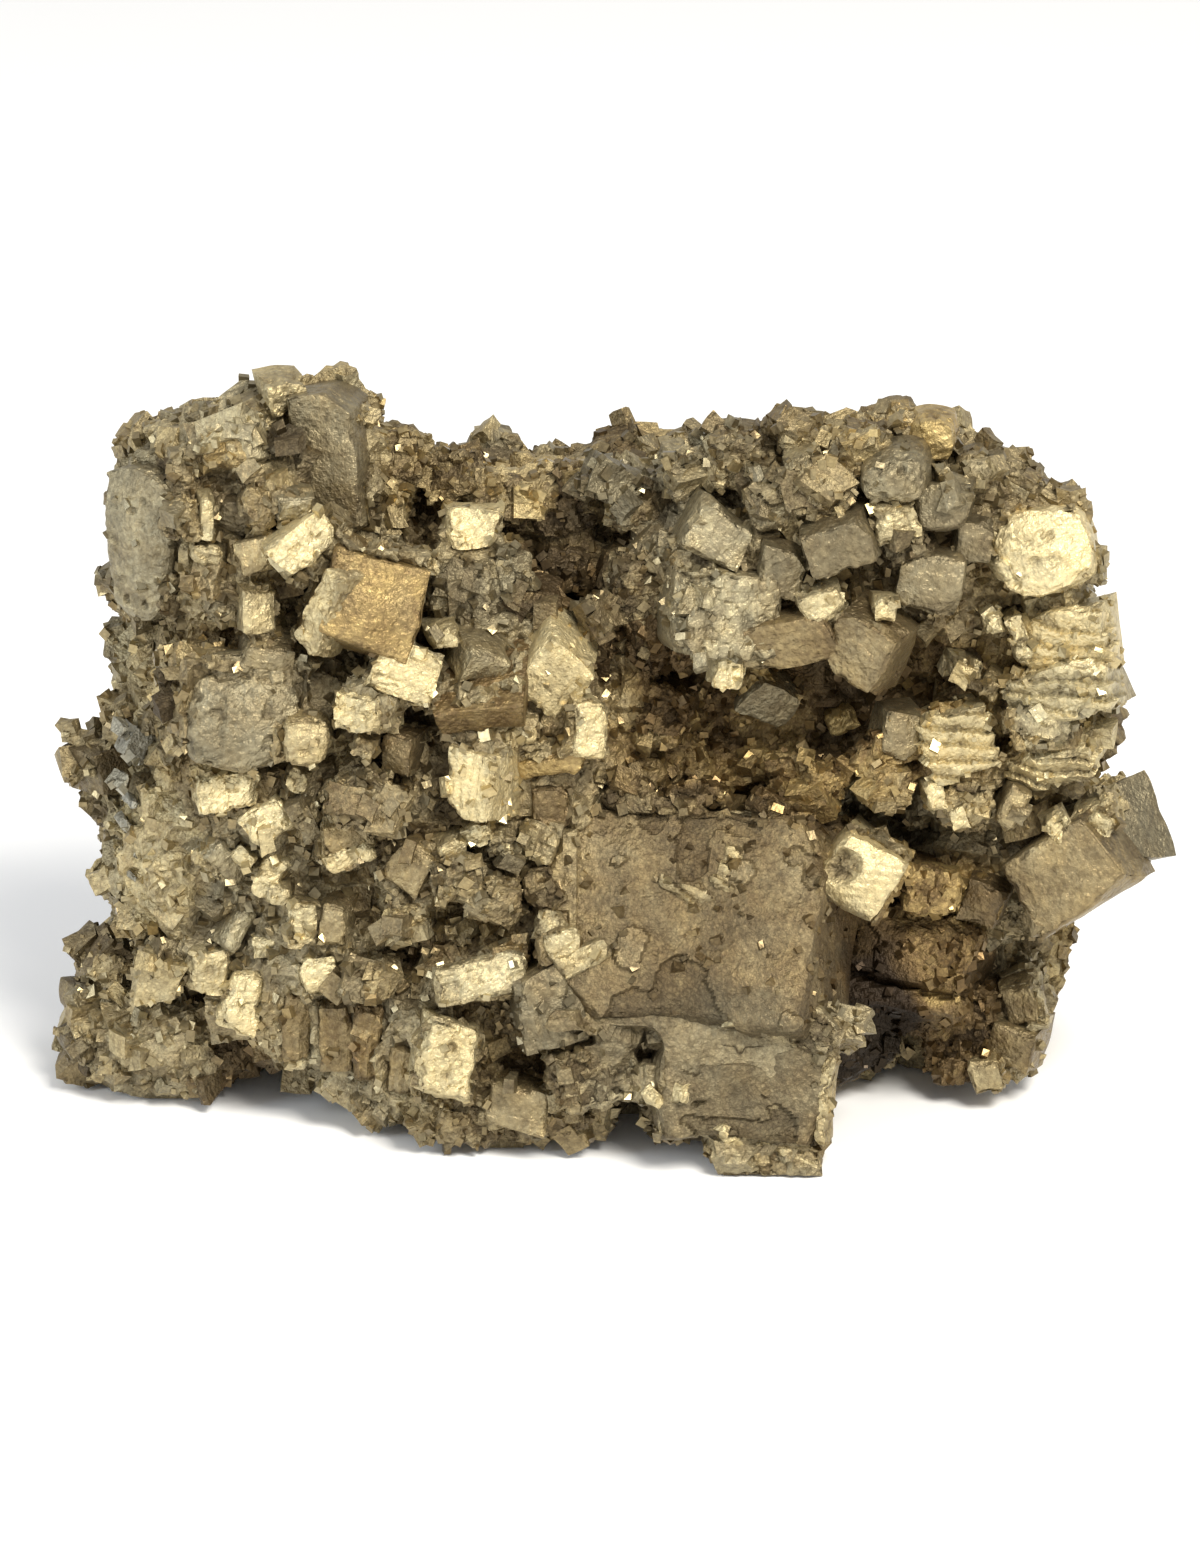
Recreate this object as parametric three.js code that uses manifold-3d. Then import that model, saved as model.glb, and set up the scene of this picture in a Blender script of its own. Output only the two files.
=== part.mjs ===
// Pyrite specimen: one intergrown cluster of blocky crystals on a massive granular body.
// Millimetres, +Z up. The origin is a point on the flat broken base that the cluster stands on.
// -Y is the show side, with the bright crystals, and +Y is the plain back.
import * as THREE from "three";
import { mergeVertices } from "three/addons/utils/BufferGeometryUtils.js";
import Module from "manifold-3d";

// ---------------------------------------------------------------- driving dimensions
// Crystals and lumps are set out on a show plane that leans back. "across" and "rise" are measured
// on that plane, and "depth" is the y that the piece sits at, so that depth -20 is near the front.
const SHOW_LEAN = THREE.MathUtils.degToRad(20);
// How finely each lump of the body is faceted.
const LUMP_DETAIL = 1;
// How much smaller a crystal's front face is than its buried end.
const FRONT_TAPER = 0.93;
// A block below the floor, which cuts the base flat at z = 0.
const FLOOR_CUT = { wide: 200, deep: 140, tall: 40 };
// Vertices nearer than this are one vertex.
const MERGE_DISTANCE = 1e-4;
const PYRITE = { color: 0x9a8353, roughness: 0.42, metalness: 0.9 };

// ---------------------------------------------------------------- the massive body
// name, [across, rise, depth] of the centre, [half width, half depth, half height], roll, squareness
// A squareness of 2 is an ellipsoid, and larger values are nearer to a block.
const BODY = [
  ["base_core", [0, 9, 3], [36, 19, 12], 0, 3.2],
  ["west_heel_root", [-46, 9, 6], [12, 12, 10], 0, 2.8],
  ["east_heel_root", [40, 12, 8], [11, 12, 12], 0, 2.8],
  ["west_core", [-34.5, 36, 3], [17, 18.5, 25], -4, 2.8],
  ["middle_core", [-11, 28, 1], [20, 19, 27], 0, 3.0],
  ["east_core", [22, 35.5, 16], [26, 14, 30], 0, 3.2],
  ["cave_back", [16, 43, 5], [22, 9.5, 13], 0, 3.2],
  ["back_core", [-4.5, 37.5, 14], [36, 15, 28], 0, 3.4],
  ["north_west", [-40, 61, 1], [10.5, 13.5, 12.5], 10, 2.8],
  ["peak_root", [-29, 63.5, 2], [8.5, 11, 11.5], 0, 2.6],
  ["saddle_west", [-11, 59, 8], [17, 11, 10.5], 4, 2.6],
  ["saddle_east", [4.5, 57.5, 9], [9, 11, 11.5], 0, 2.6],
  ["north_east", [17.5, 58.5, 1], [15, 15, 11], -3, 3.0],
  ["crown_east", [32, 61, 1.5], [13, 13.5, 11.5], 0, 3.0],
  ["far_east", [42, 57, 2.5], [9, 11.5, 12], 0, 2.6],
  ["east_wall", [44.5, 37.5, 2.5], [10, 11.5, 15], 0, 2.8],
  ["east_foot", [43.5, 24.5, 3], [10, 12, 9], 0, 2.6],
  ["east_middle", [36, 46, 6], [9, 9, 11], 0, 2.8],
  ["east_side", [45, 42, 10], [10, 13, 24], 0, 3.0],
  ["bench", [27.5, 14.5, 2], [17, 12, 10], 8, 2.8],
  ["bench_east", [41, 8, 4], [6.5, 9, 8.5], 0, 2.6],
  ["brow_west", [-44, 26, -1], [10.5, 12, 12], 0, 2.8],
  ["west_wall", [-50.5, 28, 4], [5.5, 9, 15], 0, 3.0],
  ["west_side", [-45, 40, 8], [9, 13, 25], 0, 3.0],
  ["west_foot", [-49, 5.5, -1], [11.4, 11, 7.8], -3, 2.4],
  ["west_heel", [-56, 5.5, 1], [4.6, 8, 7], 0, 2.2],
  ["south_west", [-31, 13.5, -5], [12, 13, 13.5], 0, 2.8],
  ["south_keel", [-18.5, 5.5, -9], [13, 13, 10.5], 6, 2.8],
  ["south_toe", [-11, -1.5, -16], [9, 9, 5.5], 0, 2.4],
  ["south_shelf", [-13, 11, -12], [9.5, 9.5, 9], 0, 2.6],
  ["slab_root", [7, 13.5, -8], [16, 12.5, 17], 0, 3.0],
  ["north_back", [11, 62, 18], [26, 8, 11], -2, 2.8],
  ["north_west_back", [-36.5, 62, 14], [13, 10, 12], 0, 2.8],
];

// ---------------------------------------------------------------- the crystals
// name, [across, rise, depth] of the middle of the front face, [width, depth, height],
// [turn about the upright axis, nod of the front face, roll in the show plane] in degrees
const CROWN = [
  ["peak_tower", [-29.5, 67.5, -7.5], [4.6, 8, 14], [-14, -4, 3]],
  ["peak_cap", [-29, 73.5, -4], [6, 6, 5.5], [14, 4, -6]],
  ["crown_knob", [-33.5, 73, -5], [6, 6, 5], [20, 4, -14]],
  ["crown_shelf", [-40, 70.5, -4], [9.5, 7, 5], [5, 0, -2]],
  ["crown_corner", [-44.5, 69, -6], [5, 7, 5], [25, 0, -24]],
  ["ochre_face", [-40, 69, -11], [5.2, 6, 4.4], [-10, -5, 4]],
  ["flank_low", [-45, 66.5, -10], [4.6, 6, 5], [16, -4, 8]],
  ["flank_high", [-43.5, 69, -10], [3.6, 5, 3.4], [-14, 10, -20]],
  ["flank_inner", [-37, 65.5, -12], [4, 5, 3.2], [12, 6, -12]],
  ["tower_foot", [-33, 67.5, -9.5], [3.4, 5, 5.2], [10, 0, 6]],
];

const WEST_SHOULDER = [
  ["shoulder_slab", [-46.5, 58.5, -5], [7.6, 9.5, 16], [27, 0, 2]],
  ["shoulder_hip", [-48, 65.5, -2.5], [4.8, 8, 9], [24, 4, 16]],
  ["shelf", [-45, 61.5, -13], [5, 6, 4.4], [12, -4, 4]],
  ["pocket_left", [-40, 61.5, -12], [3.4, 5, 4.2], [-16, 8, 10]],
  ["pocket_middle", [-37, 62.5, -14], [3.4, 5, 3.4], [14, 0, 24]],
  ["pocket_right", [-33, 62.5, -14.5], [4.2, 5, 3.4], [12, 6, 8]],
  ["pocket_floor", [-37.5, 57.5, -14], [4.6, 6, 4.6], [-10, -8, -20]],
  ["shoulder_foot", [-46, 53.5, -10], [4.4, 7, 6], [20, 0, 12]],
  ["shoulder_toe", [-41.5, 52.5, -13], [4.2, 6, 4.6], [-12, 0, -6]],
  ["chin_block", [-37, 51.5, -16], [4, 6, 5.2], [14, -4, 4]],
];

const HEART = [
  ["cream_bar", [-30.5, 58, -17.5], [8.2, 7, 4.4], [8, -12, -32]],
  ["wedge", [-23.5, 53, -18.5], [11, 10, 11.5], [22, -10, 14]],
  ["lamp_square", [-14, 60.5, -11.5], [6.4, 6, 4.8], [0, -16, 2]],
  ["speckled_block", [-13.5, 53.5, -12.5], [9.4, 9, 8.4], [6, -12, 4]],
  ["speckled_top", [-9.5, 56, -12], [4.4, 6, 5.2], [4, -10, 2]],
  ["beak", [-7.5, 51.5, -12], [6, 6, 2.8], [-8, 16, 16]],
  ["pentagon", [-21, 45, -20], [7.2, 7, 6.2], [6, -14, 24]],
  ["lantern", [-26.5, 40.5, -21.5], [5.8, 6, 5.4], [-24, -2, 2]],
  ["lantern_side", [-22.5, 36, -19], [3.6, 5, 4.6], [-28, 0, 6]],
  ["anvil", [-13, 39.5, -20.5], [11.4, 10, 5], [2, 24, -7]],
  ["anvil_cap", [-12.5, 45, -17], [5.8, 6, 4.2], [10, 14, 18]],
  ["twin_face", [-14.5, 32.5, -21], [6, 8, 8.6], [-30, -4, 2]],
  ["leaner", [-5, 44, -15.5], [7.4, 8, 8.8], [4, 12, 34]],
  ["leaner_foot", [-4, 39.5, -15.5], [5.4, 7, 4.6], [10, 0, 6]],
  ["sail", [-1, 38.5, -18.5], [4.4, 4, 7], [14, -4, 6]],
  ["crumb_high", [-8.5, 38, -18], [4.2, 4, 2.6], [12, 0, -6]],
  ["golden_bar", [-5.5, 34.5, -18], [8.4, 6, 2.8], [0, 16, -12]],
  ["diamond", [-25.5, 30.5, -21.5], [6.2, 7, 6.2], [4, -6, 40]],
  ["diamond_heel", [-27.5, 27, -20.5], [5, 5, 3.6], [10, 0, -8]],
  ["bright_ledge", [-27.5, 24.5, -21], [6.4, 6, 2.6], [4, 8, -16]],
  ["gold_spike", [-21, 23.5, -20], [4.6, 6, 6.4], [-14, -6, 26]],
  ["corner_box", [-5.5, 30, -17.5], [4.4, 6, 4.8], [8, 0, 0]],
  ["knee_left", [-16, 22.5, -22], [5.6, 6, 4.4], [-8, -8, -12]],
  ["knee_right", [-11, 20, -22.5], [5.2, 6, 4.8], [10, -6, 10]],
];

const WEST_BROW = [
  ["brow_plate", [-38.5, 41, -18], [15.5, 10, 12], [4, -6, 4]],
  ["brow_cap", [-36, 46, -17], [6.2, 6, 3.6], [6, 4, 10]],
  ["brow_drop", [-32.5, 37.5, -19.5], [5.4, 6, 5.2], [6, -8, 0]],
  ["brow_corner", [-45, 44.5, -14.5], [4.8, 6, 4], [14, 0, 6]],
  ["brow_edge", [-46, 37, -12], [3.8, 6, 5.4], [22, 0, 4]],
  ["flag_high", [-40.5, 32, -17], [7.4, 6, 4.4], [8, -10, -4]],
  ["flag_low", [-36.5, 28.5, -17.5], [5.6, 6, 4.2], [6, -10, -32]],
  ["arrow_left", [-40.5, 23.5, -15.5], [3.4, 6, 6.4], [30, 0, -42]],
  ["arrow_right", [-36.5, 22.5, -16.5], [3.2, 6, 5], [-6, -8, 22]],
  ["stack_left", [-32.5, 17.5, -18.5], [3.4, 5, 5.2], [6, -8, 2]],
  ["stack_right", [-29.5, 17, -18.5], [3.4, 5, 5], [-14, 0, 0]],
  ["stack_low", [-31, 11.5, -18.5], [4.6, 5, 4.2], [-4, -8, -12]],
  ["frame_cube", [-43.5, 12, -14.5], [5.2, 5, 5.2], [8, -6, 4]],
  ["frame_side", [-47.5, 12, -12.5], [3.6, 4, 3.2], [16, 0, 18]],
  ["tooth", [-39.5, 8.5, -16.5], [4.4, 5, 7.2], [6, -8, 18]],
  ["wall_inner", [-42, 19.5, -12.5], [3.6, 5, 3.4], [-14, 0, 14]],
  ["wall_low", [-47.5, 20, -10.5], [5, 6, 4.4], [12, 0, -10]],
  ["wall_middle", [-45, 25, -11.5], [4.4, 6, 4.2], [-8, 0, 6]],
  ["wall_high", [-48.5, 30, -9.5], [4.2, 6, 5], [18, 0, 4]],
  ["wall_outer", [-50.5, 17, -8], [4.2, 6, 4.4], [14, 0, -6]],
];

const WEST_EDGE = [
  ["ear_cube", [-54, 34, -4], [4.8, 7, 5.8], [34, 0, -14]],
  ["ear_knob", [-51.5, 39.5, -4.5], [3.8, 5, 3.6], [18, 0, -6]],
  ["ear_low", [-53.5, 29, -4.5], [3.4, 5, 3.8], [24, 0, 8]],
  ["heel_side", [-57.5, 8, -5], [3.2, 5, 3.4], [26, 0, 12]],
  ["heel_foot", [-57, 2.5, -8], [4, 6, 4], [24, 0, -18]],
  ["heel_top", [-55, 12, -6], [3.6, 5, 3.4], [14, 0, 26]],
];

const SOUTH = [
  ["pillar_west", [-33.5, 5.5, -17], [3.4, 5, 8.2], [10, -2, 3]],
  ["pillar_middle", [-29.5, 4.5, -18.5], [4, 5, 9.4], [-6, -2, -2]],
  ["pillar_east", [-25.5, 4, -20], [3.6, 5, 9.6], [8, -2, 2]],
  ["pillar_foot", [-22, 1, -21.5], [3.2, 5, 6], [-10, 0, 5]],
  ["pillar_top", [-25, 11, -20.5], [5.4, 6, 4.4], [4, 0, -5]],
  ["pillar_cap", [-21.5, 17.5, -21], [4.4, 5, 4.6], [-8, 0, 4]],
  ["glow_block", [-16.5, 2.5, -27], [7.4, 8, 9.2], [6, -14, 10]],
  ["glow_shelf", [-13, 11.5, -25.5], [10, 7, 4.6], [4, -22, -12]],
  ["toe_nose", [-9, -3, -26], [7.4, 7, 5.4], [-8, -6, 14]],
  ["toe_under", [-14.5, -5, -24], [7.2, 7, 3.8], [10, 0, 14]],
  ["toe_west", [-17.5, -3.5, -23.5], [4.4, 6, 4.4], [14, 0, 24]],
  ["toe_east", [-4.5, -4.5, -26], [5.6, 6, 3.6], [-10, 0, -8]],
];

const SLAB = [
  ["great_slab", [15, -1, -29.5], [20, 12, 13.5], [3, -12, 5]],
  ["slab_ramp", [9, 18.5, -21.5], [33, 13, 28], [2, -32, 2]],
  ["slab_lip", [18.5, -8.5, -30], [13, 9, 4], [2, -6, 3]],
  ["slab_step", [-0.5, 0.5, -27.5], [10, 9, 7], [6, -8, -10]],
  ["slab_chip", [-4, 15, -25.5], [4.2, 5, 3.4], [8, -10, -14]],
  ["slab_nose", [22.5, 6, -27], [7, 8, 5], [-8, -20, 34]],
];

const BENCH = [
  ["shell_crystal", [28.5, 23, -18.5], [8.8, 7, 9.4], [-4, -14, 28]],
  ["bench_plate", [33, 13, -11], [18, 10, 11], [-4, -34, 10]],
  ["bench_front", [40, 4.5, -9], [8.5, 10, 10], [-14, -4, -2]],
  ["cup_west", [37, 21, -12.5], [5.6, 9, 5.4], [6, -8, 12]],
  ["cup_east", [42.5, 19.5, -12], [5.2, 6, 5], [-10, -4, 22]],
  ["corner_high", [47, 8, -9], [4.6, 7, 5.2], [-12, 0, -16]],
  ["corner_middle", [46, 3, -10], [5.8, 7, 5.6], [-16, 0, 14]],
  ["corner_low", [43, 0, -12], [3.4, 6, 4.2], [-10, 0, -14]],
];

const EAST_WALL = [
  ["beacon", [48, 58.5, -13.5], [10.4, 9, 10], [-8, -12, -14]],
  ["beacon_root", [44.5, 61, -11], [6.4, 7, 6.4], [8, -6, -26]],
  ["beacon_under", [49, 52, -10], [7, 8, 4], [-8, 4, -8]],
  ["stair_high", [50.5, 47.5, -12], [9, 8, 6.4], [-14, -12, -20]],
  ["stair_low", [49.5, 43, -13.5], [11, 9, 5.6], [-12, -10, -20]],
  ["stair_foot", [48.5, 39.5, -14], [7.6, 8, 5.2], [6, -2, -14]],
  ["fan", [39, 37, -13.5], [8.2, 8, 8.4], [4, -12, -16]],
  ["fan_side", [33.5, 38, -12.5], [4.4, 6, 5.4], [16, -2, 10]],
  ["fan_foot", [40, 30.5, -13.5], [6, 7, 5.6], [-4, -4, 8]],
  ["roof", [49, 34, -13], [11, 9, 5.2], [-10, 16, -16]],
  ["great_east", [51, 23, -14.5], [11.5, 10, 9], [-22, -8, -38]],
  ["great_cap", [54, 28, -14], [5, 7, 3.4], [-14, 4, -26]],
  ["east_prow", [53.5, 27.5, -8], [7, 8, 8], [-46, 0, -26]],
];

const NORTH_EAST = [
  ["parlour", [14.5, 51, -17.5], [10.6, 9, 8.6], [10, -8, 6]],
  ["lintel", [20.5, 48, -17.5], [9.6, 9, 5.2], [-4, 8, -10]],
  ["lintel_foot", [16.5, 47, -17], [3.8, 5, 3.4], [4, 0, 8]],
  ["keystone", [27.5, 47, -19], [6.4, 8, 6.8], [-26, -4, 24]],
  ["bright_rib", [24, 52, -18], [4.6, 5, 3], [4, 4, -14]],
  ["gable", [25.5, 58, -17.5], [6.8, 7, 5], [-6, 6, -22]],
  ["gable_left", [20, 55.5, -16.5], [4.4, 6, 5.4], [4, -4, 8]],
  ["pale_face", [13, 59.5, -14.5], [6, 6, 5.2], [10, -8, 34]],
  ["pale_low", [10, 56, -14], [5.2, 6, 4.4], [-6, 0, 4]],
  ["grey_dome", [31.5, 65.5, -15.5], [6.6, 7, 5.2], [-6, 2, -10]],
  ["grey_flat", [37, 62.5, -15], [5.6, 6, 4.8], [-8, -4, 2]],
  ["white_chip", [32, 60.5, -16.5], [4.4, 5, 3.2], [4, -4, -12]],
  ["olive_low", [36, 54.5, -16], [6.2, 7, 6], [-4, -2, 10]],
  ["olive_high", [33.5, 58, -15.5], [4.8, 6, 4], [6, 0, -10]],
  ["attic_middle", [24, 64.5, -14.5], [7, 7, 5.2], [4, -6, 8]],
  ["attic_west", [18.5, 63, -13.5], [4.6, 6, 4.6], [-6, -4, -8]],
  ["attic_high", [28.5, 68, -12], [5.8, 7, 5], [6, 0, -6]],
  ["attic_far", [15.5, 67.5, -9.5], [6, 7, 5], [4, 4, 8]],
  ["attic_sliver", [22, 69, -10], [3.8, 6, 5.4], [-6, 4, 10]],
  ["gold_knob", [36, 70, -9], [4.6, 6, 4.2], [-8, 4, 8]],
  ["gold_back", [32, 70.5, -7], [4.4, 6, 3.6], [6, 4, -6]],
  ["east_knob_low", [42, 66, -10], [4.6, 6, 4.2], [4, 0, -10]],
  ["east_knob_high", [45, 64.5, -9], [4.4, 6, 4], [-10, 0, 20]],
  ["east_knob_inner", [40.5, 59, -14], [4, 6, 4.6], [4, -2, 6]],
];

const CAVITY = [
  ["cave_block", [5.5, 40.5, -10.5], [8.2, 8, 6.6], [-10, -6, 14]],
  ["cave_wedge", [19, 41.5, -9], [6.6, 7, 4.8], [4, 10, 30]],
  ["cave_floor", [13, 35, -7], [14, 10, 5], [0, -30, 3]],
  ["cave_wall", [7, 48.5, -9.5], [7.5, 8, 8], [10, 0, -6]],
  ["cave_root", [3, 48.5, -8], [6, 8, 8], [-8, -4, 8]],
  ["cave_bit_2", [30, 35, -12.5], [4.4, 5, 3.8], [0, -4, 12]],
  ["cave_bit_3", [25, 33.5, -12], [5, 5, 4.2], [8, -6, 8]],
  ["cave_bit_4", [20, 33.5, -10], [3.4, 5, 4], [-6, -4, -6]],
  ["cave_bit_5", [32, 32, -14], [4.6, 5, 4.4], [4, -6, 14]],
];

const SADDLE = [
  ["saddle_west", [-22, 69, -2], [7, 9, 6], [8, -26, 12]],
  ["saddle_slope", [-16, 66.5, -2.5], [6, 9, 6], [-6, -26, -6]],
  ["saddle_middle", [-10.5, 64, -4], [6.5, 9, 6.5], [6, -20, 8]],
  ["saddle_block", [-4.5, 64, -3], [7.5, 9, 8], [-8, -12, -4]],
  ["saddle_low", [-4.5, 56, -6], [5.5, 8, 5], [-12, 0, 8]],
  ["saddle_east", [4.5, 63.5, -6], [6, 8, 6], [10, -10, 8]],
  ["saddle_far", [10, 66, -8], [5.5, 7, 5], [4, -6, -10]],
  ["saddle_foot", [4.5, 54, -10], [7, 9, 8], [14, -6, 6]],
];

// Rows of plainer crystals over the back and the top, in the same form. The back ones face +Y.
const BACK = [
  ["back_west_high", [-38, 70, 21], [14, 9, 12], [172, 10, 8]],
  ["back_west_middle", [-42, 48, 20], [16, 10, 14], [164, 0, -10]],
  ["back_west_low", [-40, 24, 17], [15, 12, 13], [170, -6, 14]],
  ["back_middle_high", [-14, 66, 20], [13, 9, 11], [184, 8, 22]],
  ["back_middle", [-16, 47, 29], [17, 9, 15], [176, -4, -16]],
  ["back_middle_low", [-12, 26, 26], [15, 12, 13], [186, -8, 10]],
  ["back_east_high", [14, 67, 24], [15, 9, 12], [190, 8, -8]],
  ["back_east_middle", [10, 50, 30], [16, 10, 15], [182, -2, 18]],
  ["back_east_low", [14, 27, 27], [17, 12, 14], [188, -8, -12]],
  ["back_far_high", [34, 68, 18], [12, 9, 12], [198, 6, 14]],
  ["back_far_middle", [36, 46, 25], [14, 10, 15], [200, 0, -10]],
  ["back_far_low", [38, 24, 18], [13, 11, 12], [204, -8, 8]],
  ["back_foot_west", [-22, 10, 18], [17, 10, 9], [174, -4, 4]],
  ["back_foot_east", [20, 11, 20], [19, 10, 9], [188, -4, -6]],
];

const CRYSTALS = [
  CROWN, WEST_SHOULDER, HEART, WEST_BROW, WEST_EDGE, SOUTH,
  SLAB, BENCH, EAST_WALL, NORTH_EAST, CAVITY, SADDLE, BACK,
].flat();

// ---------------------------------------------------------------- placing
function onShowPlane([across, rise, depth]) {
  const height = (rise - depth * Math.sin(SHOW_LEAN)) / Math.cos(SHOW_LEAN);
  return new THREE.Vector3(across, depth, height);
}

function turned([turn, nod, roll]) {
  const radians = [nod, roll, turn].map(THREE.MathUtils.degToRad);
  const angles = new THREE.Euler(radians[0], radians[1], radians[2], "ZXY");
  return new THREE.Matrix4().makeRotationFromEuler(angles);
}

// ---------------------------------------------------------------- shapes
// One lump of the body: an icosahedron's points pushed out to a rounded block.
function lump([, place, half, roll, squareness]) {
  const geometry = new THREE.IcosahedronGeometry(1, LUMP_DETAIL);
  const points = geometry.attributes.position;
  const point = new THREE.Vector3();
  for (let i = 0; i < points.count; i += 1) {
    point.fromBufferAttribute(points, i);
    const sum = point.toArray().reduce((total, part) => total + Math.abs(part) ** squareness, 0);
    point.multiplyScalar(sum ** (-1 / squareness));
    points.setXYZ(i, point.x * half[0], point.y * half[1], point.z * half[2]);
  }
  geometry.applyMatrix4(turned([0, 0, roll]));
  geometry.translate(...onShowPlane(place).toArray());
  return geometry;
}

// One crystal: a block whose front face, towards -Y before it is turned, is a little smaller.
function crystal([, place, [width, depth, height], angles]) {
  const geometry = new THREE.BoxGeometry(width, depth, height);
  const points = geometry.attributes.position;
  for (let i = 0; i < points.count; i += 1) {
    if (points.getY(i) < 0) {
      points.setX(i, points.getX(i) * FRONT_TAPER);
      points.setZ(i, points.getZ(i) * FRONT_TAPER);
    }
  }
  geometry.translate(0, depth / 2, 0);
  geometry.applyMatrix4(turned(angles));
  geometry.translate(...onShowPlane(place).toArray());
  return geometry;
}

// ---------------------------------------------------------------- joining
const wasm = await Module();
wasm.setup();

function toSolid(geometry) {
  const bare = geometry.clone();
  bare.deleteAttribute("normal");
  bare.deleteAttribute("uv");
  const merged = mergeVertices(bare, MERGE_DISTANCE);
  const vertProperties = new Float32Array(merged.attributes.position.array);
  const triVerts = new Uint32Array(merged.index.array);
  return new wasm.Manifold(new wasm.Mesh({ numProp: 3, vertProperties, triVerts }));
}

function toGeometry(solid) {
  const mesh = solid.getMesh();
  const geometry = new THREE.BufferGeometry();
  geometry.setAttribute("position", new THREE.BufferAttribute(mesh.vertProperties, 3));
  geometry.setIndex(new THREE.BufferAttribute(mesh.triVerts, 1));
  return geometry;
}

function growCluster() {
  const pieces = [...BODY.map(lump), ...CRYSTALS.map(crystal)].map(toSolid);
  const grown = pieces.reduce((joined, piece) => joined.add(piece));
  const floor = new THREE.BoxGeometry(FLOOR_CUT.wide, FLOOR_CUT.deep, FLOOR_CUT.tall);
  floor.translate(0, 0, -FLOOR_CUT.tall / 2);
  return grown.subtract(toSolid(floor));
}

const specimen = new THREE.Group();
const cluster = new THREE.Mesh(toGeometry(growCluster()), new THREE.MeshStandardMaterial(PYRITE));
cluster.name = "pyrite_cluster";
specimen.add(cluster);

export default specimen;
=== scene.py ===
"""Pyrite specimen: the looks of one intergrown crystal cluster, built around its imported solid.

The solid gives the massive body, which is remeshed and roughened here. Crystals with stepped, mosaic,
striated or domed faces grow on it at their own places, and geometry nodes grow small blocks and druse
over what is left. Crystal sizes and places are in millimetres on the same leaning show plane as the
solid's, and turned to metres once, in `in_metres`.
"""

import math

import bmesh
import bpy
import numpy as np
from mathutils import Euler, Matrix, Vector
from mathutils.bvhtree import BVHTree


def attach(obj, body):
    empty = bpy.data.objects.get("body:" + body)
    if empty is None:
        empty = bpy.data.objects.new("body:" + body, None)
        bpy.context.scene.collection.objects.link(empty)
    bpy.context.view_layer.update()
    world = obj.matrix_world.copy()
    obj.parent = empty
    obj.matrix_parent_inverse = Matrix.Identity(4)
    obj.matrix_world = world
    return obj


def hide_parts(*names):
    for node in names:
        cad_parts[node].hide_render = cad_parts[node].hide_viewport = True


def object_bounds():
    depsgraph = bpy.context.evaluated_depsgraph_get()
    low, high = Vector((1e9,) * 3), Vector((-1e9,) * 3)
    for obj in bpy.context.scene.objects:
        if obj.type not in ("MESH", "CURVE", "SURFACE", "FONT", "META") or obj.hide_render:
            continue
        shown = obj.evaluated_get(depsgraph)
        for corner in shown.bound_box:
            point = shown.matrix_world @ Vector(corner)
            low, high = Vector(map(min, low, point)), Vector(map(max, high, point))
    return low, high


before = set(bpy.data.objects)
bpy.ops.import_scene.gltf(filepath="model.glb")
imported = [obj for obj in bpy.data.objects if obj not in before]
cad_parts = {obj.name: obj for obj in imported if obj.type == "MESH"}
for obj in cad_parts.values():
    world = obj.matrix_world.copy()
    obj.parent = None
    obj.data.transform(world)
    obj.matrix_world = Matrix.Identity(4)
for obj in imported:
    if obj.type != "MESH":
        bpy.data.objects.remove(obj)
cad_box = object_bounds()

# ------------------------------------------------------------- driving sizes in millimetres, shares and seeds
MM = 0.001
SHOW_LEAN = math.radians(20)
NODE = "pyrite_cluster"
BODY = "root"
# The remeshed body: its grain, how far it is drawn in, and how far under a clean crystal face.
BODY_VOXEL = 0.74
BODY_INSET = 0.1
UNDER_CRYSTAL = 1.3
# The body's coarse and fine grains, the height of each, and the broad plates of its sandy zones.
COARSE_GRAIN = 4.2
COARSE_HEIGHT = 1.3
FINE_GRAIN = 1.8
FINE_HEIGHT = 0.8
BROAD_PLATE = 13.0
BROAD_HEIGHT = 0.55
# Blocks that grow on the body lie the same way within patches of this size.
TURN_PATCH = 6.0
# The body's own brightness and warmth, before its grains and hollows change them.
BODY_BRIGHT = 0.33
BODY_WARM = 0.32
# Mesh spacing on a crystal's faces, on the few very large ones, and on those of the back.
CRYSTAL_GRAIN = 0.30
LARGE_GRAIN = 0.36
LARGE_CRYSTAL = 15.0
BACK_GRAIN = 0.55
# A crystal's buried depth has this part of the rows that its spacing would give.
DEPTH_ROWS = 0.62
# A crystal's front face is drawn in to this part of its full width and height.
FRONT_TAPER = 0.93
# How far a crystal's corners stray, as a part of its size, and how far its edges wander.
CORNER_DRIFT = 0.085
EDGE_WANDER = 0.13
# The edges of the broad plates wander this many times as far.
PLATE_WANDER = 2.2
# A crystal's broken corners are cut off at this part of its reach towards them.
BROKEN_FROM = (0.72, 0.9)
# How wide the worn band along a crystal's edges is.
WORN_EDGE = 0.8
# The size and height of the finest grain on every crystal's faces.
FINEST_GRAIN = 1.1
FINEST_HEIGHT = 0.10
# How much darker a face's low places are than its high ones, for a millimetre, and on the plates.
DEPTH_SHADE = 0.6
PLATE_SHADE = 0.2
# The grid that tells open places from shut-in ones, and how many cells round a point it averages,
# once for the crevices close by and once for the wider hollows.
GRID_CELL = 0.9
GRID_MARGIN = 6.0
NEAR_CELLS = 2
WIDE_CELLS = 5
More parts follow.
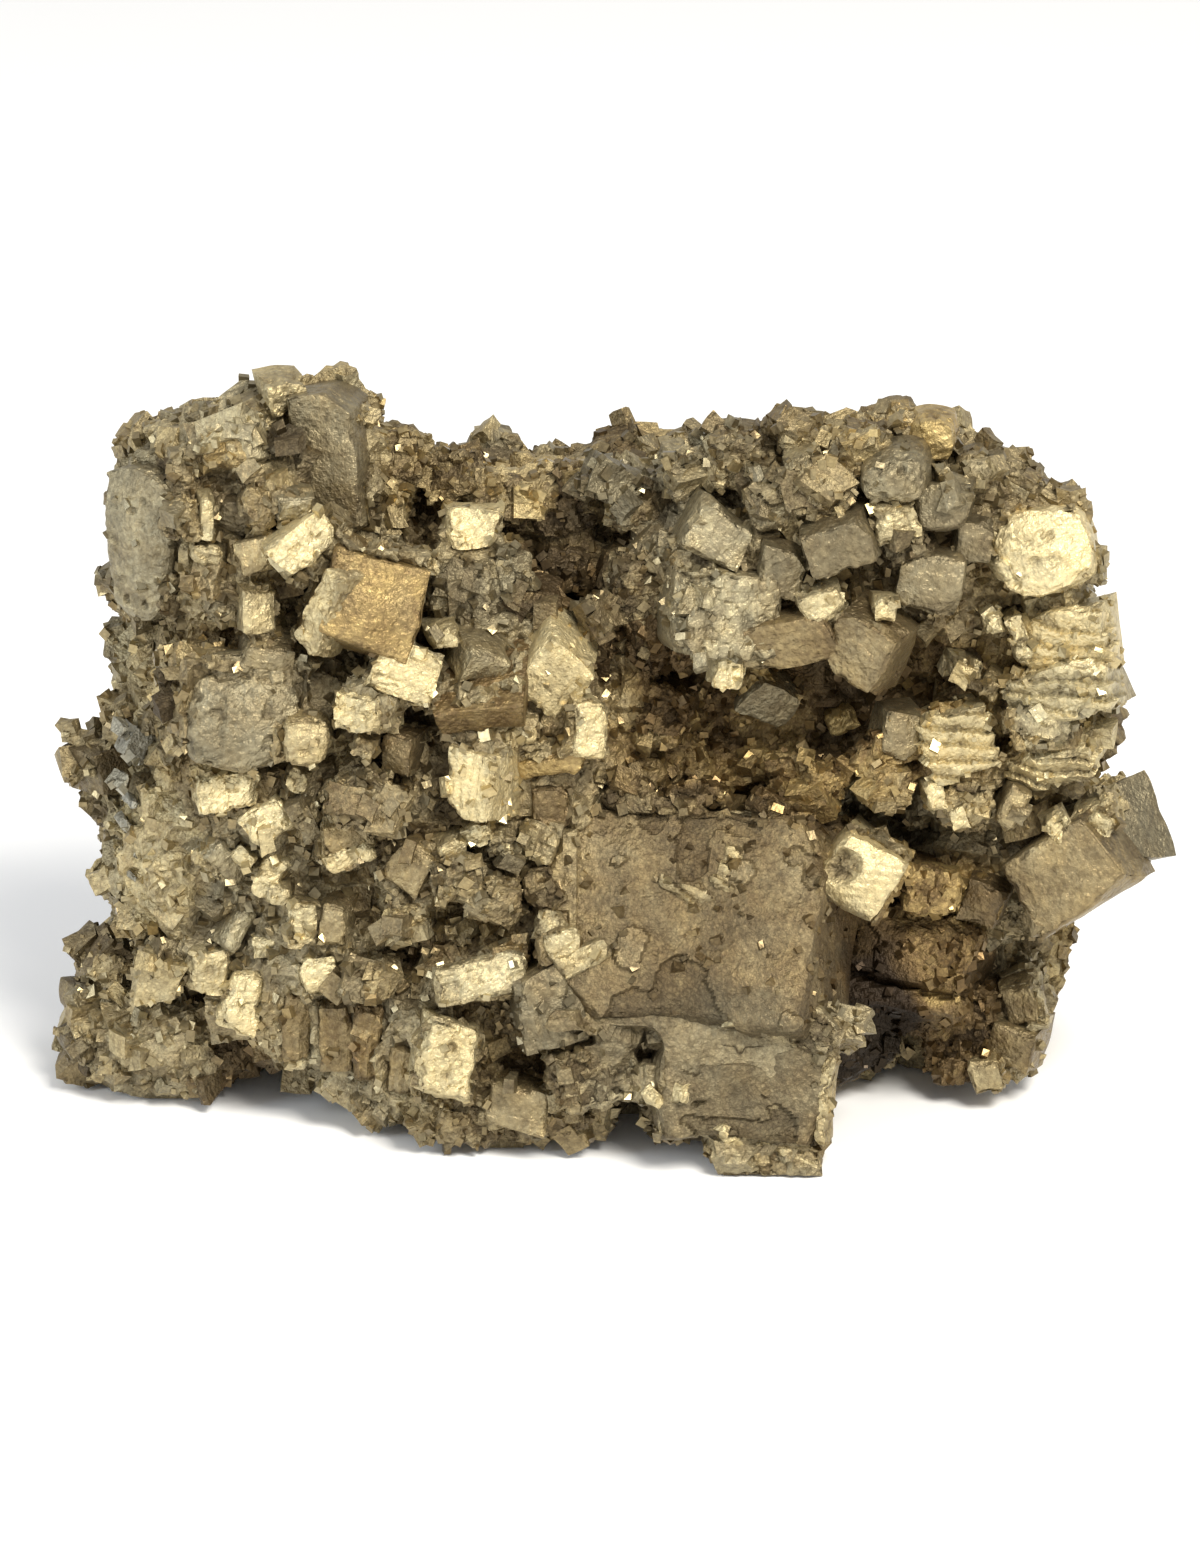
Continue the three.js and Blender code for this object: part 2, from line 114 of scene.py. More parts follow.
# A place counts as shut in from this share of solid round it, and wholly so when a span is added.
# The weights say how much each of the two averages counts.
SHUT_FROM = 0.50
NEAR_SPAN = 0.34
WIDE_SPAN = 0.30
NEAR_WEIGHT = 0.55
WIDE_WEIGHT = 0.65
# The lowest height at which anything grows on the body, so that the base stays clear of druse.
BASE_CLEAR = 1.2
# Body points below this height are the flat base.
BASE_TOP = 0.3
# The depths at which the show side's small growth ends, and the plainer back crystals start.
FRONT_HALF = 4.0
BACK_STARTS = 6.0
# The brightest that small growth gets, so that only the crystals themselves are cream.
GROWTH_BRIGHTEST = 0.6
# How much of the knit blocks' own surface carries small growth.
KNIT_GROWTH = 0.6
# No small block starts on the body this close beside a clean face, from this far in front of the
# face down to this depth behind it.
BESIDE_REACH = 1.7
BESIDE_FRONT = 1.6
BESIDE_DEPTH = 2.6
# The one plate that small growth runs right up to.
MERGED_PLATE = "slab_ramp"
# Nothing starts to grow nearer than this to the sides and the top of the solid's box.
BOX_MARGIN = 2.4
# The plainer back crystals: places tried, the gap between them, their sizes, the lowest height at
# which one starts, and the habits that they are drawn from.
BACK_TRIES = 9000
BACK_GAP = 6.8
BACK_SIZES = (4.2, 8.5)
BACK_CLEAR = 3
BACK_HABITS = ("smooth", "mosaic", "granular", "granular", "striated", "stepped")
# How far a growing block's brightness, warmth and proportions vary, and how many shapes it has.
GROWTH_BRIGHTNESS = (0.75, 1.2)
GROWTH_WARMTH = (-0.15, 0.2)
GROWTH_SHAPE = (0.55, 1.25)
GROWTH_VARIANTS = 6
# First seeds of the placed crystals, the back crystals and the choice of the back's places.
SHOW_SEED = 100
BACK_SEED = 700
BACK_DICE = 77

# ---------------------------------------------------------------- the crystals
# name, (across, rise, depth) of the middle of the front face, (width, depth, height),
# (turn, nod, roll) in degrees, habit, brightness 0 to 1, warmth -1 to 1.
# Brightness 0 is nearly black and 1 is clean pale brass. It is partly each crystal's own tarnish and
# partly painted light: painted highlights on the cream crystals and painted shade on the darkest ones.
# Warmth 0 is olive, 1 is golden and below 0 is cool steel grey, which on the rims and glints is a
# painted reflection.
CROWN = [
    ("peak_tower", (-30, 67.5, -9), (7, 8, 17), (-10, -4, -8), "smooth", 0.34, 0.25),
    ("peak_cap", (-34, 74.5, -6), (4.8, 6, 4), (14, 4, -6), "mosaic", 0.72, 0.35),
    ("crown_knob", (-36, 72, -6), (5, 6, 4.6), (20, 4, -14), "mosaic", 0.5, 0.35),
    ("crown_shelf", (-40, 70.5, -4), (9.5, 7, 5), (5, 0, -2), "granular", 0.32, 0.25),
    ("crown_corner", (-44.5, 69, -6), (5, 7, 5), (25, 0, -24), "granular", 0.3, 0.2),
    ("ochre_face", (-40, 69, -11), (5.2, 6, 4.4), (-10, -5, 4), "granular", 0.34, 0.7),
    ("flank_low", (-45, 66.5, -10), (4.6, 6, 5), (16, -4, 8), "granular", 0.3, 0.3),
    ("flank_high", (-43.5, 69, -10), (3.6, 5, 3.4), (-14, 10, -20), "granular", 0.26, 0.3),
    ("flank_inner", (-37, 65.5, -12), (4, 5, 3.2), (12, 6, -12), "granular", 0.3, 0.4),
    ("tower_foot", (-33, 67.5, -9.5), (3.4, 5, 5.2), (10, 0, 6), "granular", 0.2, 0.3),
]

WEST_SHOULDER = [
    ("shoulder_slab", (-50.5, 58.5, -8), (10.5, 9, 18), (-36, 0, 3), "domed", 0.36, 0.05),
    # rim_high and rim_low are thin cool steel-grey bars, a painted reflection along the shoulder's edge.
    ("rim_high", (-48.6, 63, -9.6), (0.9, 3, 5.6), (-8, 0, 8), "mosaic", 0.66, -0.5),
    ("rim_low", (-48.3, 56, -10), (0.8, 3, 6.4), (-8, 0, -5), "mosaic", 0.6, -0.6),
    ("shoulder_hip", (-50, 65.5, -5.5), (5.4, 8, 8), (-34, 6, 18), "domed", 0.34, 0.05),
    ("shelf", (-45, 61.5, -13), (5, 6, 4.4), (12, -4, 4), "granular", 0.4, 0.45),
    ("sliver", (-42.5, 61.5, -13.5), (1.7, 4, 5.2), (10, 0, 2), "smooth", 0.85, 0.2),
    ("pocket_left", (-40, 61.5, -12), (3.4, 5, 4.2), (-16, 8, 10), "smooth", 0.24, 0.2),
    ("pocket_middle", (-37, 62.5, -14), (3.4, 5, 3.4), (14, 0, 24), "granular", 0.36, 0.3),
    ("pocket_right", (-33, 62.5, -14.5), (4.2, 5, 3.4), (12, 6, 8), "smooth", 0.42, 0.08),
    ("pocket_bit", (-42.5, 57.5, -13.5), (4, 5, 3), (4, 0, 12), "mosaic", 0.66, 0.3),
    ("pocket_floor", (-37.5, 57.5, -14), (4.6, 6, 4.6), (-10, -8, -20), "smooth", 0.4, 0.35),
    ("shoulder_foot", (-46, 53.5, -10), (4.4, 7, 6), (20, 0, 12), "granular", 0.28, 0.3),
    ("shoulder_toe", (-41.5, 52.5, -13), (4.2, 6, 4.6), (-12, 0, -6), "granular", 0.3, 0.3),
    ("chin_block", (-37, 51.5, -16), (4, 6, 5.2), (14, -4, 4), "smooth", 0.6, 0.3),
]

HEART = [
    ("cream_bar", (-32, 58.5, -18), (7.6, 7, 5), (8, -12, -34), "mosaic", 1.0, 0.25),
    ("wedge", (-24.8, 51.8, -19.6), (11.4, 8, 12), (14, -10, 22), "smooth", 0.35, 0.9),
    ("wedge_edge", (-30.4, 51.4, -20.4), (3.6, 5, 10.6), (-34, -6, 22), "mosaic", 0.66, 0.35),
    ("lamp_square", (-14, 60.5, -11.5), (6.4, 6, 4.8), (0, -16, 2), "mosaic", 0.98, 0.3),
    ("speckled_block", (-13.5, 53.5, -12.5), (9.4, 9, 8.4), (6, -12, 4), "granular", 0.36, 0.1),
    ("speckled_top", (-9.5, 56, -12), (4.4, 6, 5.2), (4, -10, 2), "granular", 0.34, 0.1),
    ("beak", (-7.5, 51.5, -12), (6, 6, 2.8), (-8, 16, 16), "granular", 0.28, 0.6),
    ("bead_high", (-18.5, 56.5, -13), (2.2, 6, 2.2), (0, -10, 6), "mosaic", 0.7, 0.35),
    ("bead_low", (-17, 48.5, -18), (3.2, 6, 2.4), (6, -4, -14), "mosaic", 0.66, 0.3),
    ("pentagon", (-21, 45, -20), (7.2, 7, 6.2), (6, -14, 24), "mosaic", 1.0, 0.3),
    ("lantern", (-26.5, 40.5, -21.5), (5.8, 6, 5.4), (-24, -2, 2), "mosaic", 0.95, 0.3),
    ("lantern_foot", (-26, 36.5, -21), (2.8, 4, 2.6), (-10, 0, 20), "mosaic", 0.5, 0.4),
    ("lantern_side", (-22.5, 36, -19), (3.6, 5, 4.6), (-28, 0, 6), "smooth", 0.24, 0.5),
    ("anvil", (-13, 39.5, -20.5), (11.4, 10, 5), (2, 24, -7), "smooth", 0.26, 0.85),
    ("anvil_cap", (-12.5, 45, -18), (6, 6, 4.4), (10, 14, 18), "smooth", 0.46, 0.25),
    ("twin_face", (-14.5, 32.5, -21), (6, 8, 8.6), (-30, -4, 2), "striated", 0.92, 0.35),
    ("leaner", (-5, 44, -16.2), (7.4, 8, 8.8), (4, 12, 34), "striated", 0.98, 0.35),
    ("leaner_foot", (-4, 39.5, -15.5), (5.4, 7, 4.6), (10, 0, 6), "smooth", 0.34, 0.6),
    ("sail", (-1, 38.5, -18.5), (4.4, 4, 7), (14, -4, 6), "mosaic", 0.95, 0.3),
    ("crumb_high", (-8.5, 38, -18), (4.2, 4, 2.6), (12, 0, -6), "mosaic", 0.6, 0.45),
    ("crumb_low", (-10.5, 36, -18.5), (3, 4, 2.4), (-12, 6, 8), "mosaic", 0.6, 0.4),
    ("golden_bar", (-5.5, 34.5, -18), (8.4, 6, 2.8), (0, 16, -12), "smooth", 0.34, 0.95),
    ("diamond", (-25.5, 30.5, -21.5), (6.2, 7, 6.2), (4, -6, 40), "granular", 0.3, 0.35),
    ("diamond_heel", (-27.5, 27, -20.5), (5, 5, 3.6), (10, 0, -8), "smooth", 0.4, 0.6),
    ("bright_ledge", (-27.5, 24.5, -21), (6.4, 6, 2.6), (4, 8, -16), "mosaic", 0.88, 0.3),
    ("gold_spike", (-21, 23.5, -20), (4.6, 6, 6.4), (-14, -6, 26), "smooth", 0.34, 0.55),
    ("row_left", (-16, 25.5, -20.5), (3.4, 4, 2.8), (8, 0, -24), "mosaic", 0.62, 0.3),
    ("row_middle", (-13.5, 27, -20.5), (3.4, 4, 2.6), (-6, 4, -18), "mosaic", 0.7, 0.25),
    ("row_right", (-10.5, 26, -20.5), (3.4, 4, 2.8), (10, 0, 12), "granular", 0.44, 0.3),
    ("corner_box", (-5.5, 30, -17.5), (4.4, 6, 4.8), (8, 0, 0), "smooth", 0.26, 0.6),
    ("knee_left", (-16, 22.5, -22), (5.6, 6, 4.4), (-8, -8, -12), "granular", 0.36, 0.4),
    ("knee_right", (-11, 20, -22.5), (5.2, 6, 4.8), (10, -6, 10), "granular", 0.34, 0.35),
]

WEST_BROW = [
    ("brow_plate", (-38.8, 39.5, -18), (13, 10, 11.5), (6, -8, 6), "domed", 0.34, 0.1),
    ("brow_crest", (-37.5, 44.5, -16.8), (11, 8, 6.5), (2, -14, -8), "mosaic", 0.34, 0.2),
    ("brow_cap", (-36, 46, -17), (6.2, 6, 3.6), (6, 4, 10), "smooth", 0.32, 0.3),
    ("brow_drop", (-32, 37.5, -19.8), (6, 6, 6), (6, -8, 0), "domed", 0.5, 0.4),
    ("brow_corner", (-45, 44.5, -14.5), (4.8, 6, 4), (14, 0, 6), "granular", 0.3, 0.35),
    ("brow_edge", (-46, 37, -12), (3.8, 6, 5.4), (22, 0, 4), "granular", 0.3, 0.3),
    ("flag_high", (-40.5, 32, -17), (7.4, 6, 4.4), (8, -10, -4), "mosaic", 1.0, 0.2),
    ("flag_low", (-36.5, 28.5, -17.5), (5.6, 6, 4.2), (6, -10, -32), "mosaic", 1.0, 0.2),
    ("arrow_left", (-40.5, 23.5, -15.5), (3.4, 6, 6.4), (30, 0, -42), "smooth", 0.42, 0.08),
    ("arrow_right", (-36.5, 22.5, -16.5), (3.2, 6, 5), (-6, -8, 22), "mosaic", 0.9, 0.25),
    ("arrow_tip", (-39, 24.5, -16.5), (3, 4, 2.2), (6, -8, 38), "mosaic", 0.98, 0.2),
    ("stack_left", (-32.5, 17.5, -18.5), (3.4, 5, 5.2), (6, -8, 2), "mosaic", 0.95, 0.25),
    ("stack_right", (-29.5, 17, -18.5), (3.4, 5, 5), (-14, 0, 0), "striated", 0.4, 0.4),
    ("stack_low", (-31, 11.5, -18.5), (4.6, 5, 4.2), (-4, -8, -12), "mosaic", 0.95, 0.25),
    ("stack_bit", (-35, 20.5, -17.5), (3, 4, 2.6), (12, 0, 10), "mosaic", 0.6, 0.3),
    ("brow_bit_high", (-33, 33, -18), (2.8, 4, 2.6), (0, 0, 20), "mosaic", 0.55, 0.35),
    ("brow_bit_low", (-32, 29, -18), (3.2, 4, 3), (14, 0, -10), "granular", 0.4, 0.35),
    ("frame_cube", (-43.5, 12, -14.5), (5.2, 5, 5.2), (8, -6, 4), "mosaic", 0.7, 0.25),
    ("frame_side", (-47.5, 12, -12.5), (3.6, 4, 3.2), (16, 0, 18), "granular", 0.46, 0.3),
    ("tooth", (-39.5, 8.5, -16.5), (4.4, 5, 7.2), (6, -8, 18), "mosaic", 0.98, 0.25),
    ("tooth_cap", (-37, 14.5, -15.5), (2.8, 4, 2.4), (0, 0, -8), "mosaic", 0.8, 0.25),
    ("strap", (-40, 16.5, -14), (2.2, 4, 5.4), (20, 0, 30), "smooth", 0.5, 0.1),
    ("wall_inner", (-42, 19.5, -12.5), (3.6, 5, 3.4), (-14, 0, 14), "granular", 0.4, 0.35),
    ("wall_low", (-47.5, 20, -10.5), (5, 6, 4.4), (12, 0, -10), "granular", 0.3, 0.25),
    ("wall_middle", (-45, 25, -11.5), (4.4, 6, 4.2), (-8, 0, 6), "granular", 0.32, 0.3),
    ("wall_high", (-48.5, 30, -9.5), (4.2, 6, 5), (18, 0, 4), "granular", 0.36, 0.2),
    # The glints are small cool steel-grey chips, painted reflections along the west wall.
    ("glint_1", (-52.4, 38.5, -8.6), (1.1, 3, 1.6), (24, 0, 20), "mosaic", 0.66, -0.35),
    ("glint_2", (-51.8, 36, -9), (1.2, 3, 1.5), (10, 0, -24), "mosaic", 0.72, -0.5),
    ("glint_3", (-52.6, 33, -8.8), (0.9, 3, 2), (30, 0, 36), "mosaic", 0.64, -0.3),
    ("glint_4", (-51.6, 30.5, -9.2), (1.3, 3, 1.2), (16, 0, 34), "mosaic", 0.74, -0.5),
    ("glint_5", (-52.3, 28, -9), (1.1, 3, 1.8), (20, 0, -30), "mosaic", 0.68, -0.4),
    ("glint_6", (-51.2, 25, -9.4), (1.2, 3, 1.4), (12, 0, 26), "mosaic", 0.7, -0.35),
    ("glint_7", (-51.8, 22.5, -9.2), (0.9, 3, 1.8), (26, 0, -34), "mosaic", 0.64, -0.4),
    ("wall_outer", (-50.5, 17, -8), (4.2, 6, 4.4), (14, 0, -6), "granular", 0.3, 0.25),
]

WEST_EDGE = [
    ("ear_cube", (-54, 34, -4), (4.8, 7, 5.8), (34, 0, -14), "smooth", 0.24, 0.35),
    ("ear_knob", (-51.5, 39.5, -4.5), (3.8, 5, 3.6), (18, 0, -6), "granular", 0.34, 0.35),
    ("ear_low", (-53.5, 29, -4.5), (3.4, 5, 3.8), (24, 0, 8), "granular", 0.3, 0.3),
    ("heel_side", (-57.5, 8, -5), (3.2, 5, 3.4), (26, 0, 12), "granular", 0.34, 0.3),
    ("heel_foot", (-57, 2.5, -8), (4, 6, 4), (24, 0, -18), "granular", 0.3, 0.3),
    ("heel_top", (-55, 12, -6), (3.6, 5, 3.4), (14, 0, 26), "granular", 0.36, 0.3),
]

SOUTH = [
    ("pillar_west", (-33.5, 5.5, -17), (3.4, 5, 8.2), (10, -2, 3), "striated", 0.28, 0.55),
    ("pillar_middle", (-29.5, 4.5, -18.5), (4, 5, 9.4), (-6, -2, -2), "striated", 0.3, 0.6),
    ("pillar_east", (-25.5, 4, -20), (3.6, 5, 9.6), (8, -2, 2), "striated", 0.26, 0.7),
    ("pillar_foot", (-22, 1, -21.5), (3.2, 5, 6), (-10, 0, 5), "striated", 0.3, 0.5),
    ("pillar_top", (-25, 11, -20.5), (5.4, 6, 4.4), (4, 0, -5), "granular", 0.32, 0.45),
    ("pillar_cap", (-21.5, 17.5, -21), (4.4, 5, 4.6), (-8, 0, 4), "granular", 0.5, 0.5),
    ("glow_block", (-16.5, 2.5, -27), (7.4, 8, 9.2), (6, -14, 10), "mosaic", 0.8, 0.3),
    ("glow_shelf", (-13, 11.5, -25.5), (10, 7, 4.6), (4, -22, -12), "mosaic", 0.66, 0.2),
    ("toe_nose", (-9, -3, -26), (7.4, 7, 5.4), (-8, -6, 14), "smooth", 0.36, 0.4),
    ("toe_under", (-14.5, -5, -24), (7.2, 7, 3.8), (10, 0, 14), "granular", 0.28, 0.4),
    ("toe_west", (-17.5, -3.5, -23.5), (4.4, 6, 4.4), (14, 0, 24), "granular", 0.36, 0.4),
    ("toe_east", (-4.5, -4.5, -26), (5.6, 6, 3.6), (-10, 0, -8), "granular", 0.26, 0.45),
]

SLAB = [
    ("great_slab", (15, -1, -28.9), (20, 12, 13.5), (3, -12, 5), "plated", 0.27, 0.5),
    ("slab_ramp", (9.5, 18.5, -21.9), (33, 13, 28), (-5, -32, 4), "plated", 0.27, 0.5),
    ("ragged_tip", (14.5, 23.5, -19.8), (3.6, 3, 6), (4, -30, 28), "stepped", 0.46, 0.45),
    ("ragged_edge", (9.5, 21, -20.9), (7, 3, 1.8), (2, -30, 24), "stepped", 0.4, 0.4),
    ("grey_steps", (-5, 8, -26.8), (8, 5, 9), (4, -18, -8), "striated", 0.28, 0.15),
    ("plate_tip", (24, 6.5, -26.5), (5, 4, 2.6), (-6, -14, 42), "striated", 0.42, 0.2),
    ("ramp_corner", (-5, 29.5, -17.6), (4, 4, 4.2), (8, -10, 0), "smooth", 0.28, 0.6),
    ("ramp_crest", (6, 30.5, -15.6), (12, 4, 2.2), (0, -30, 3), "granular", 0.3, 0.4),
    # rim_right and rim_low_east are thin bright bars, a painted highlight along the slab's right and lower
    # edges. The fangs are small chips turned edge-on, their brightness a painted highlight on their ridges.
    ("rim_right", (24.5, -2, -28.9), (1.6, 3, 11), (-14, -12, 3), "mosaic", 0.6, 0.4),
    ("rim_low_east", (18, -7, -29.4), (13, 3, 1.4), (2, -8, 15), "mosaic", 0.6, 0.4),
    ("fang_west", (6.6, -1.9, -29.9), (1.5, 2, 1.8), (45, 10, -36), "mosaic", 0.9, 0.3),
    ("fang_middle", (9.4, -0.9, -29.8), (1.2, 2, 2.4), (45, -10, 22), "mosaic", 0.85, 0.3),
    ("fang_east", (14.3, -5.2, -30.2), (1.6, 2, 1.4), (45, 0, -30), "mosaic", 0.9, 0.3),
    ("fang_high", (15, 7.2, -28), (1.1, 2, 1.5), (45, -20, 24), "mosaic", 0.75, 0.25),
    ("fang_tall", (17.6, 11.6, -26.4), (1.2, 2, 2.2), (45, -20, -26), "mosaic", 0.8, 0.25),
    ("crest_chip", (-2, 13.8, -26), (6.6, 3, 2.6), (4, -20, -24), "mosaic", 0.62, 0.3),
    ("slab_lip", (18.5, -8.5, -29.4), (13, 9, 4), (2, -6, 3), "granular", 0.32, 0.5),
    ("slab_step", (-0.5, 0.5, -27.5), (10, 9, 7), (6, -8, -10), "granular", 0.3, 0.4),
    ("slab_chip", (-4, 15, -25.5), (4.2, 5, 3.4), (8, -10, -14), "mosaic", 0.7, 0.3),
    ("slab_nose", (22.5, 6, -27), (7, 8, 5), (-8, -20, 34), "granular", 0.34, 0.4),
]

BENCH = [
    ("shell_crystal", (28, 22.8, -19), (9, 7, 9), (-6, -14, 32), "shell", 0.84, 0.35),
    ("bench_plate", (33.5, 15, -11), (18, 10, 9.5), (-4, -34, 10), "plated", 0.3, 1.0),
    ("bench_front", (40, 4.5, -9), (8.5, 10, 10), (-14, -4, -2), "granular", 0.2, 0.8),
    ("cup_west", (37, 21, -12.5), (5.6, 9, 5.4), (6, -8, 12), "granular", 0.24, 0.6),
    ("cup_east", (42.5, 19.5, -12), (5.2, 6, 5), (-10, -4, 22), "smooth", 0.2, 0.6),
    ("corner_high", (47, 8, -9), (4.6, 7, 5.2), (-12, 0, -16), "smooth", 0.34, 0.5),
    ("corner_middle", (46, 3, -10), (5.8, 7, 5.6), (-16, 0, 14), "smooth", 0.32, 0.5),
    ("corner_low", (43, 0, -12), (3.4, 6, 4.2), (-10, 0, -14), "smooth", 0.5, 0.4),
    ("corner_bit", (39.5, 0.5, -9.5), (3.8, 5, 3), (0, 0, 4), "granular", 0.3, 0.5),
]

EAST_WALL = [
    ("beacon", (48, 58.5, -13.5), (10.4, 9, 10), (-8, -12, -14), "domed", 1.0, 0.28),
    ("beacon_chip", (44, 56, -14), (1.8, 6, 4.2), (6, -6, -34), "mosaic", 0.95, 0.25),
    ("beacon_root", (44.5, 61, -11), (6.4, 7, 6.4), (8, -6, -26), "granular", 0.4, 0.35),
    ("beacon_under", (49, 52, -10), (7, 8, 4), (-8, 4, -8), "mosaic", 0.66, 0.3),
    ("stair_high", (50.5, 48, -12.8), (11, 8, 7.4), (-12, -12, -18), "stepped", 0.95, 0.25),
    ("stair_low", (50.5, 42.5, -14), (12, 9, 6.2), (-12, -10, -20), "stepped", 0.7, 0.15),
    ("stair_foot", (48.5, 39.5, -14), (7.6, 8, 5.2), (6, -2, -14), "granular", 0.44, 0.15),
    ("dice_1", (43, 50, -13.5), (2, 6, 2.4), (4, -6, -10), "mosaic", 0.95, 0.2),
    ("dice_2", (45.5, 49.5, -13), (1.8, 6, 3.6), (0, -6, -28), "mosaic", 0.9, 0.2),
    ("dice_3", (40.5, 45, -11.5), (3, 6, 2.6), (12, 0, 16), "mosaic", 0.6, 0.3),
    ("dice_4", (46.5, 47, -12.5), (2.4, 5, 2.6), (0, -4, -14), "mosaic", 0.85, 0.2),
    ("dice_5", (42.5, 43, -12.5), (2.6, 5, 2.8), (-14, 0, 24), "mosaic", 0.5, 0.4),
    ("fan", (39, 37, -13.5), (8.2, 8, 8.4), (4, -12, -16), "stepped", 0.82, 0.3),
    ("fan_side", (33.5, 38, -12.5), (4.4, 6, 5.4), (16, -2, 10), "smooth", 0.3, 0.3),
    ("fan_foot", (40, 30.5, -13.5), (6, 7, 5.6), (-4, -4, 8), "granular", 0.4, 0.45),
    ("fan_bead_high", (37, 31.5, -14.5), (2.4, 4, 3.6), (6, -8, -12), "mosaic", 0.9, 0.3),
    ("fan_bead_low", (39.5, 29, -14.5), (2, 4, 3), (0, -6, -18), "mosaic", 0.85, 0.3),
    ("roof", (49, 34, -13), (11, 9, 5.2), (-10, 16, -16), "stepped", 0.7, 0.3),
    ("great_east", (51, 23, -15.5), (13, 10, 10.5), (-20, -8, -38), "smooth", 0.34, 0.5),
    ("great_cap", (54, 28, -14), (5, 7, 3.4), (-14, 4, -26), "mosaic", 0.85, 0.3),
    ("great_collar", (51, 27.5, -15), (3, 5, 4.2), (4, -8, -30), "mosaic", 0.9, 0.3),
    ("east_prow", (54.3, 27, -9), (7.4, 8, 9), (-46, 0, -28), "smooth", 0.32, 0.05),
    ("hook", (45.5, 30, -14.5), (2.6, 4, 5), (6, -6, 28), "smooth", 0.4, 0.35),
]

NORTH_EAST = [
    ("parlour", (14.5, 51, -17.5), (10.6, 9, 8.6), (10, -8, 6), "mosaic", 0.46, 0.12),
    ("parlour_drop", (14, 45, -18), (3.4, 4, 3.4), (8, -10, 12), "mosaic", 0.9, 0.25),
    ("lintel", (20.5, 48, -17.5), (9.6, 9, 5.2), (-4, 8, -10), "smooth", 0.28, 0.55),
    ("lintel_foot", (16.5, 47, -17), (3.8, 5, 3.4), (4, 0, 8), "smooth", 0.3, 0.35),
    ("keystone", (27.5, 47, -19), (6.4, 8, 6.8), (-26, -4, 24), "smooth", 0.3, 0.5),
    ("keystone_cap", (31, 51.5, -18.5), (2.4, 4, 2.4), (4, -6, 4), "mosaic", 0.85, 0.35),
    ("bright_rib", (24, 52, -18), (4.6, 5, 3), (4, 4, -14), "mosaic", 0.7, 0.3),
    ("gable", (25.5, 58, -17.5), (6.8, 7, 5), (-6, 6, -22), "smooth", 0.28, 0.25),
    ("gable_left", (20, 55.5, -16.5), (4.4, 6, 5.4), (4, -4, 8), "smooth", 0.32, 0.15),
    ("pale_face", (13, 59.5, -14.5), (6, 6, 5.2), (10, -8, 34), "smooth", 0.44, 0.12),
    ("pale_low", (10, 56, -14), (5.2, 6, 4.4), (-6, 0, 4), "granular", 0.36, 0.2),
    ("grey_dome", (31.5, 65.5, -15.5), (6.6, 7, 5.2), (-6, 2, -10), "domed", 0.36, 0.15),
    ("grey_flat", (37, 62.5, -15), (5.6, 6, 4.8), (-8, -4, 2), "smooth", 0.34, 0.12),
    ("white_chip", (32, 60.5, -16.5), (4.4, 5, 3.2), (4, -4, -12), "mosaic", 0.64, 0.25),
    ("olive_low", (36, 54.5, -16), (6.2, 7, 6), (-4, -2, 10), "smooth", 0.32, 0.2),
    ("olive_high", (33.5, 58, -15.5), (4.8, 6, 4), (6, 0, -10), "granular", 0.3, 0.2),
    ("attic_middle", (24, 64.5, -14.5), (7, 7, 5.2), (4, -6, 8), "granular", 0.34, 0.25),
    ("attic_west", (18.5, 63, -13.5), (4.6, 6, 4.6), (-6, -4, -8), "granular", 0.34, 0.25),
    ("attic_high", (28.5, 68, -12), (5.8, 7, 5), (6, 0, -6), "granular", 0.34, 0.35),
    ("attic_far", (15.5, 67.5, -9.5), (6, 7, 5), (4, 4, 8), "granular", 0.32, 0.35),
    ("attic_sliver", (22, 69, -10), (3.8, 6, 5.4), (-6, 4, 10), "granular", 0.4, 0.35),
    ("gold_knob", (36, 70, -9), (4.6, 6, 4.2), (-8, 4, 8), "domed", 0.6, 0.9),
    ("gold_back", (32, 70.5, -7), (4.4, 6, 3.6), (6, 4, -6), "granular", 0.5, 0.8),
    ("east_knob_low", (42, 66, -10), (4.6, 6, 4.2), (4, 0, -10), "granular", 0.34, 0.3),
    ("east_knob_high", (45, 64.5, -9), (4.4, 6, 4), (-10, 0, 20), "granular", 0.4, 0.35),
    ("east_knob_inner", (40.5, 59, -14), (4, 6, 4.6), (4, -2, 6), "smooth", 0.3, 0.2),
]

CAVITY = [
    ("cave_block", (5.5, 40.5, -10.5), (8.2, 8, 6.6), (-10, -6, 14), "granular", 0.2, 0.7),
    ("cave_wedge", (19, 41.5, -9), (6.6, 7, 4.8), (4, 10, 30), "smooth", 0.3, 0.15),
    ("cave_wall", (7, 48.5, -9.5), (7.5, 8, 8), (10, 0, -6), "granular", 0.14, 0.85),
    ("cave_root", (3, 48.5, -8), (6, 8, 8), (-8, -4, 8), "granular", 0.14, 0.85),
    ("cave_bit_1", (27, 39.5, -6), (3.4, 6, 2.8), (8, 0, -26), "mosaic", 0.5, 0.95),
    ("cave_bit_2", (30, 35, -12.5), (4.4, 5, 3.8), (0, -4, 12), "granular", 0.42, 0.2),
    ("cave_bit_3", (25, 33.5, -12), (5, 5, 4.2), (8, -6, 8), "granular", 0.38, 0.25),
    ("cave_bit_4", (20, 33.5, -10), (3.4, 5, 4), (-6, -4, -6), "granular", 0.28, 0.5),
    ("cave_bit_5", (32, 32, -14), (4.6, 5, 4.4), (4, -6, 14), "granular", 0.36, 0.4),
]

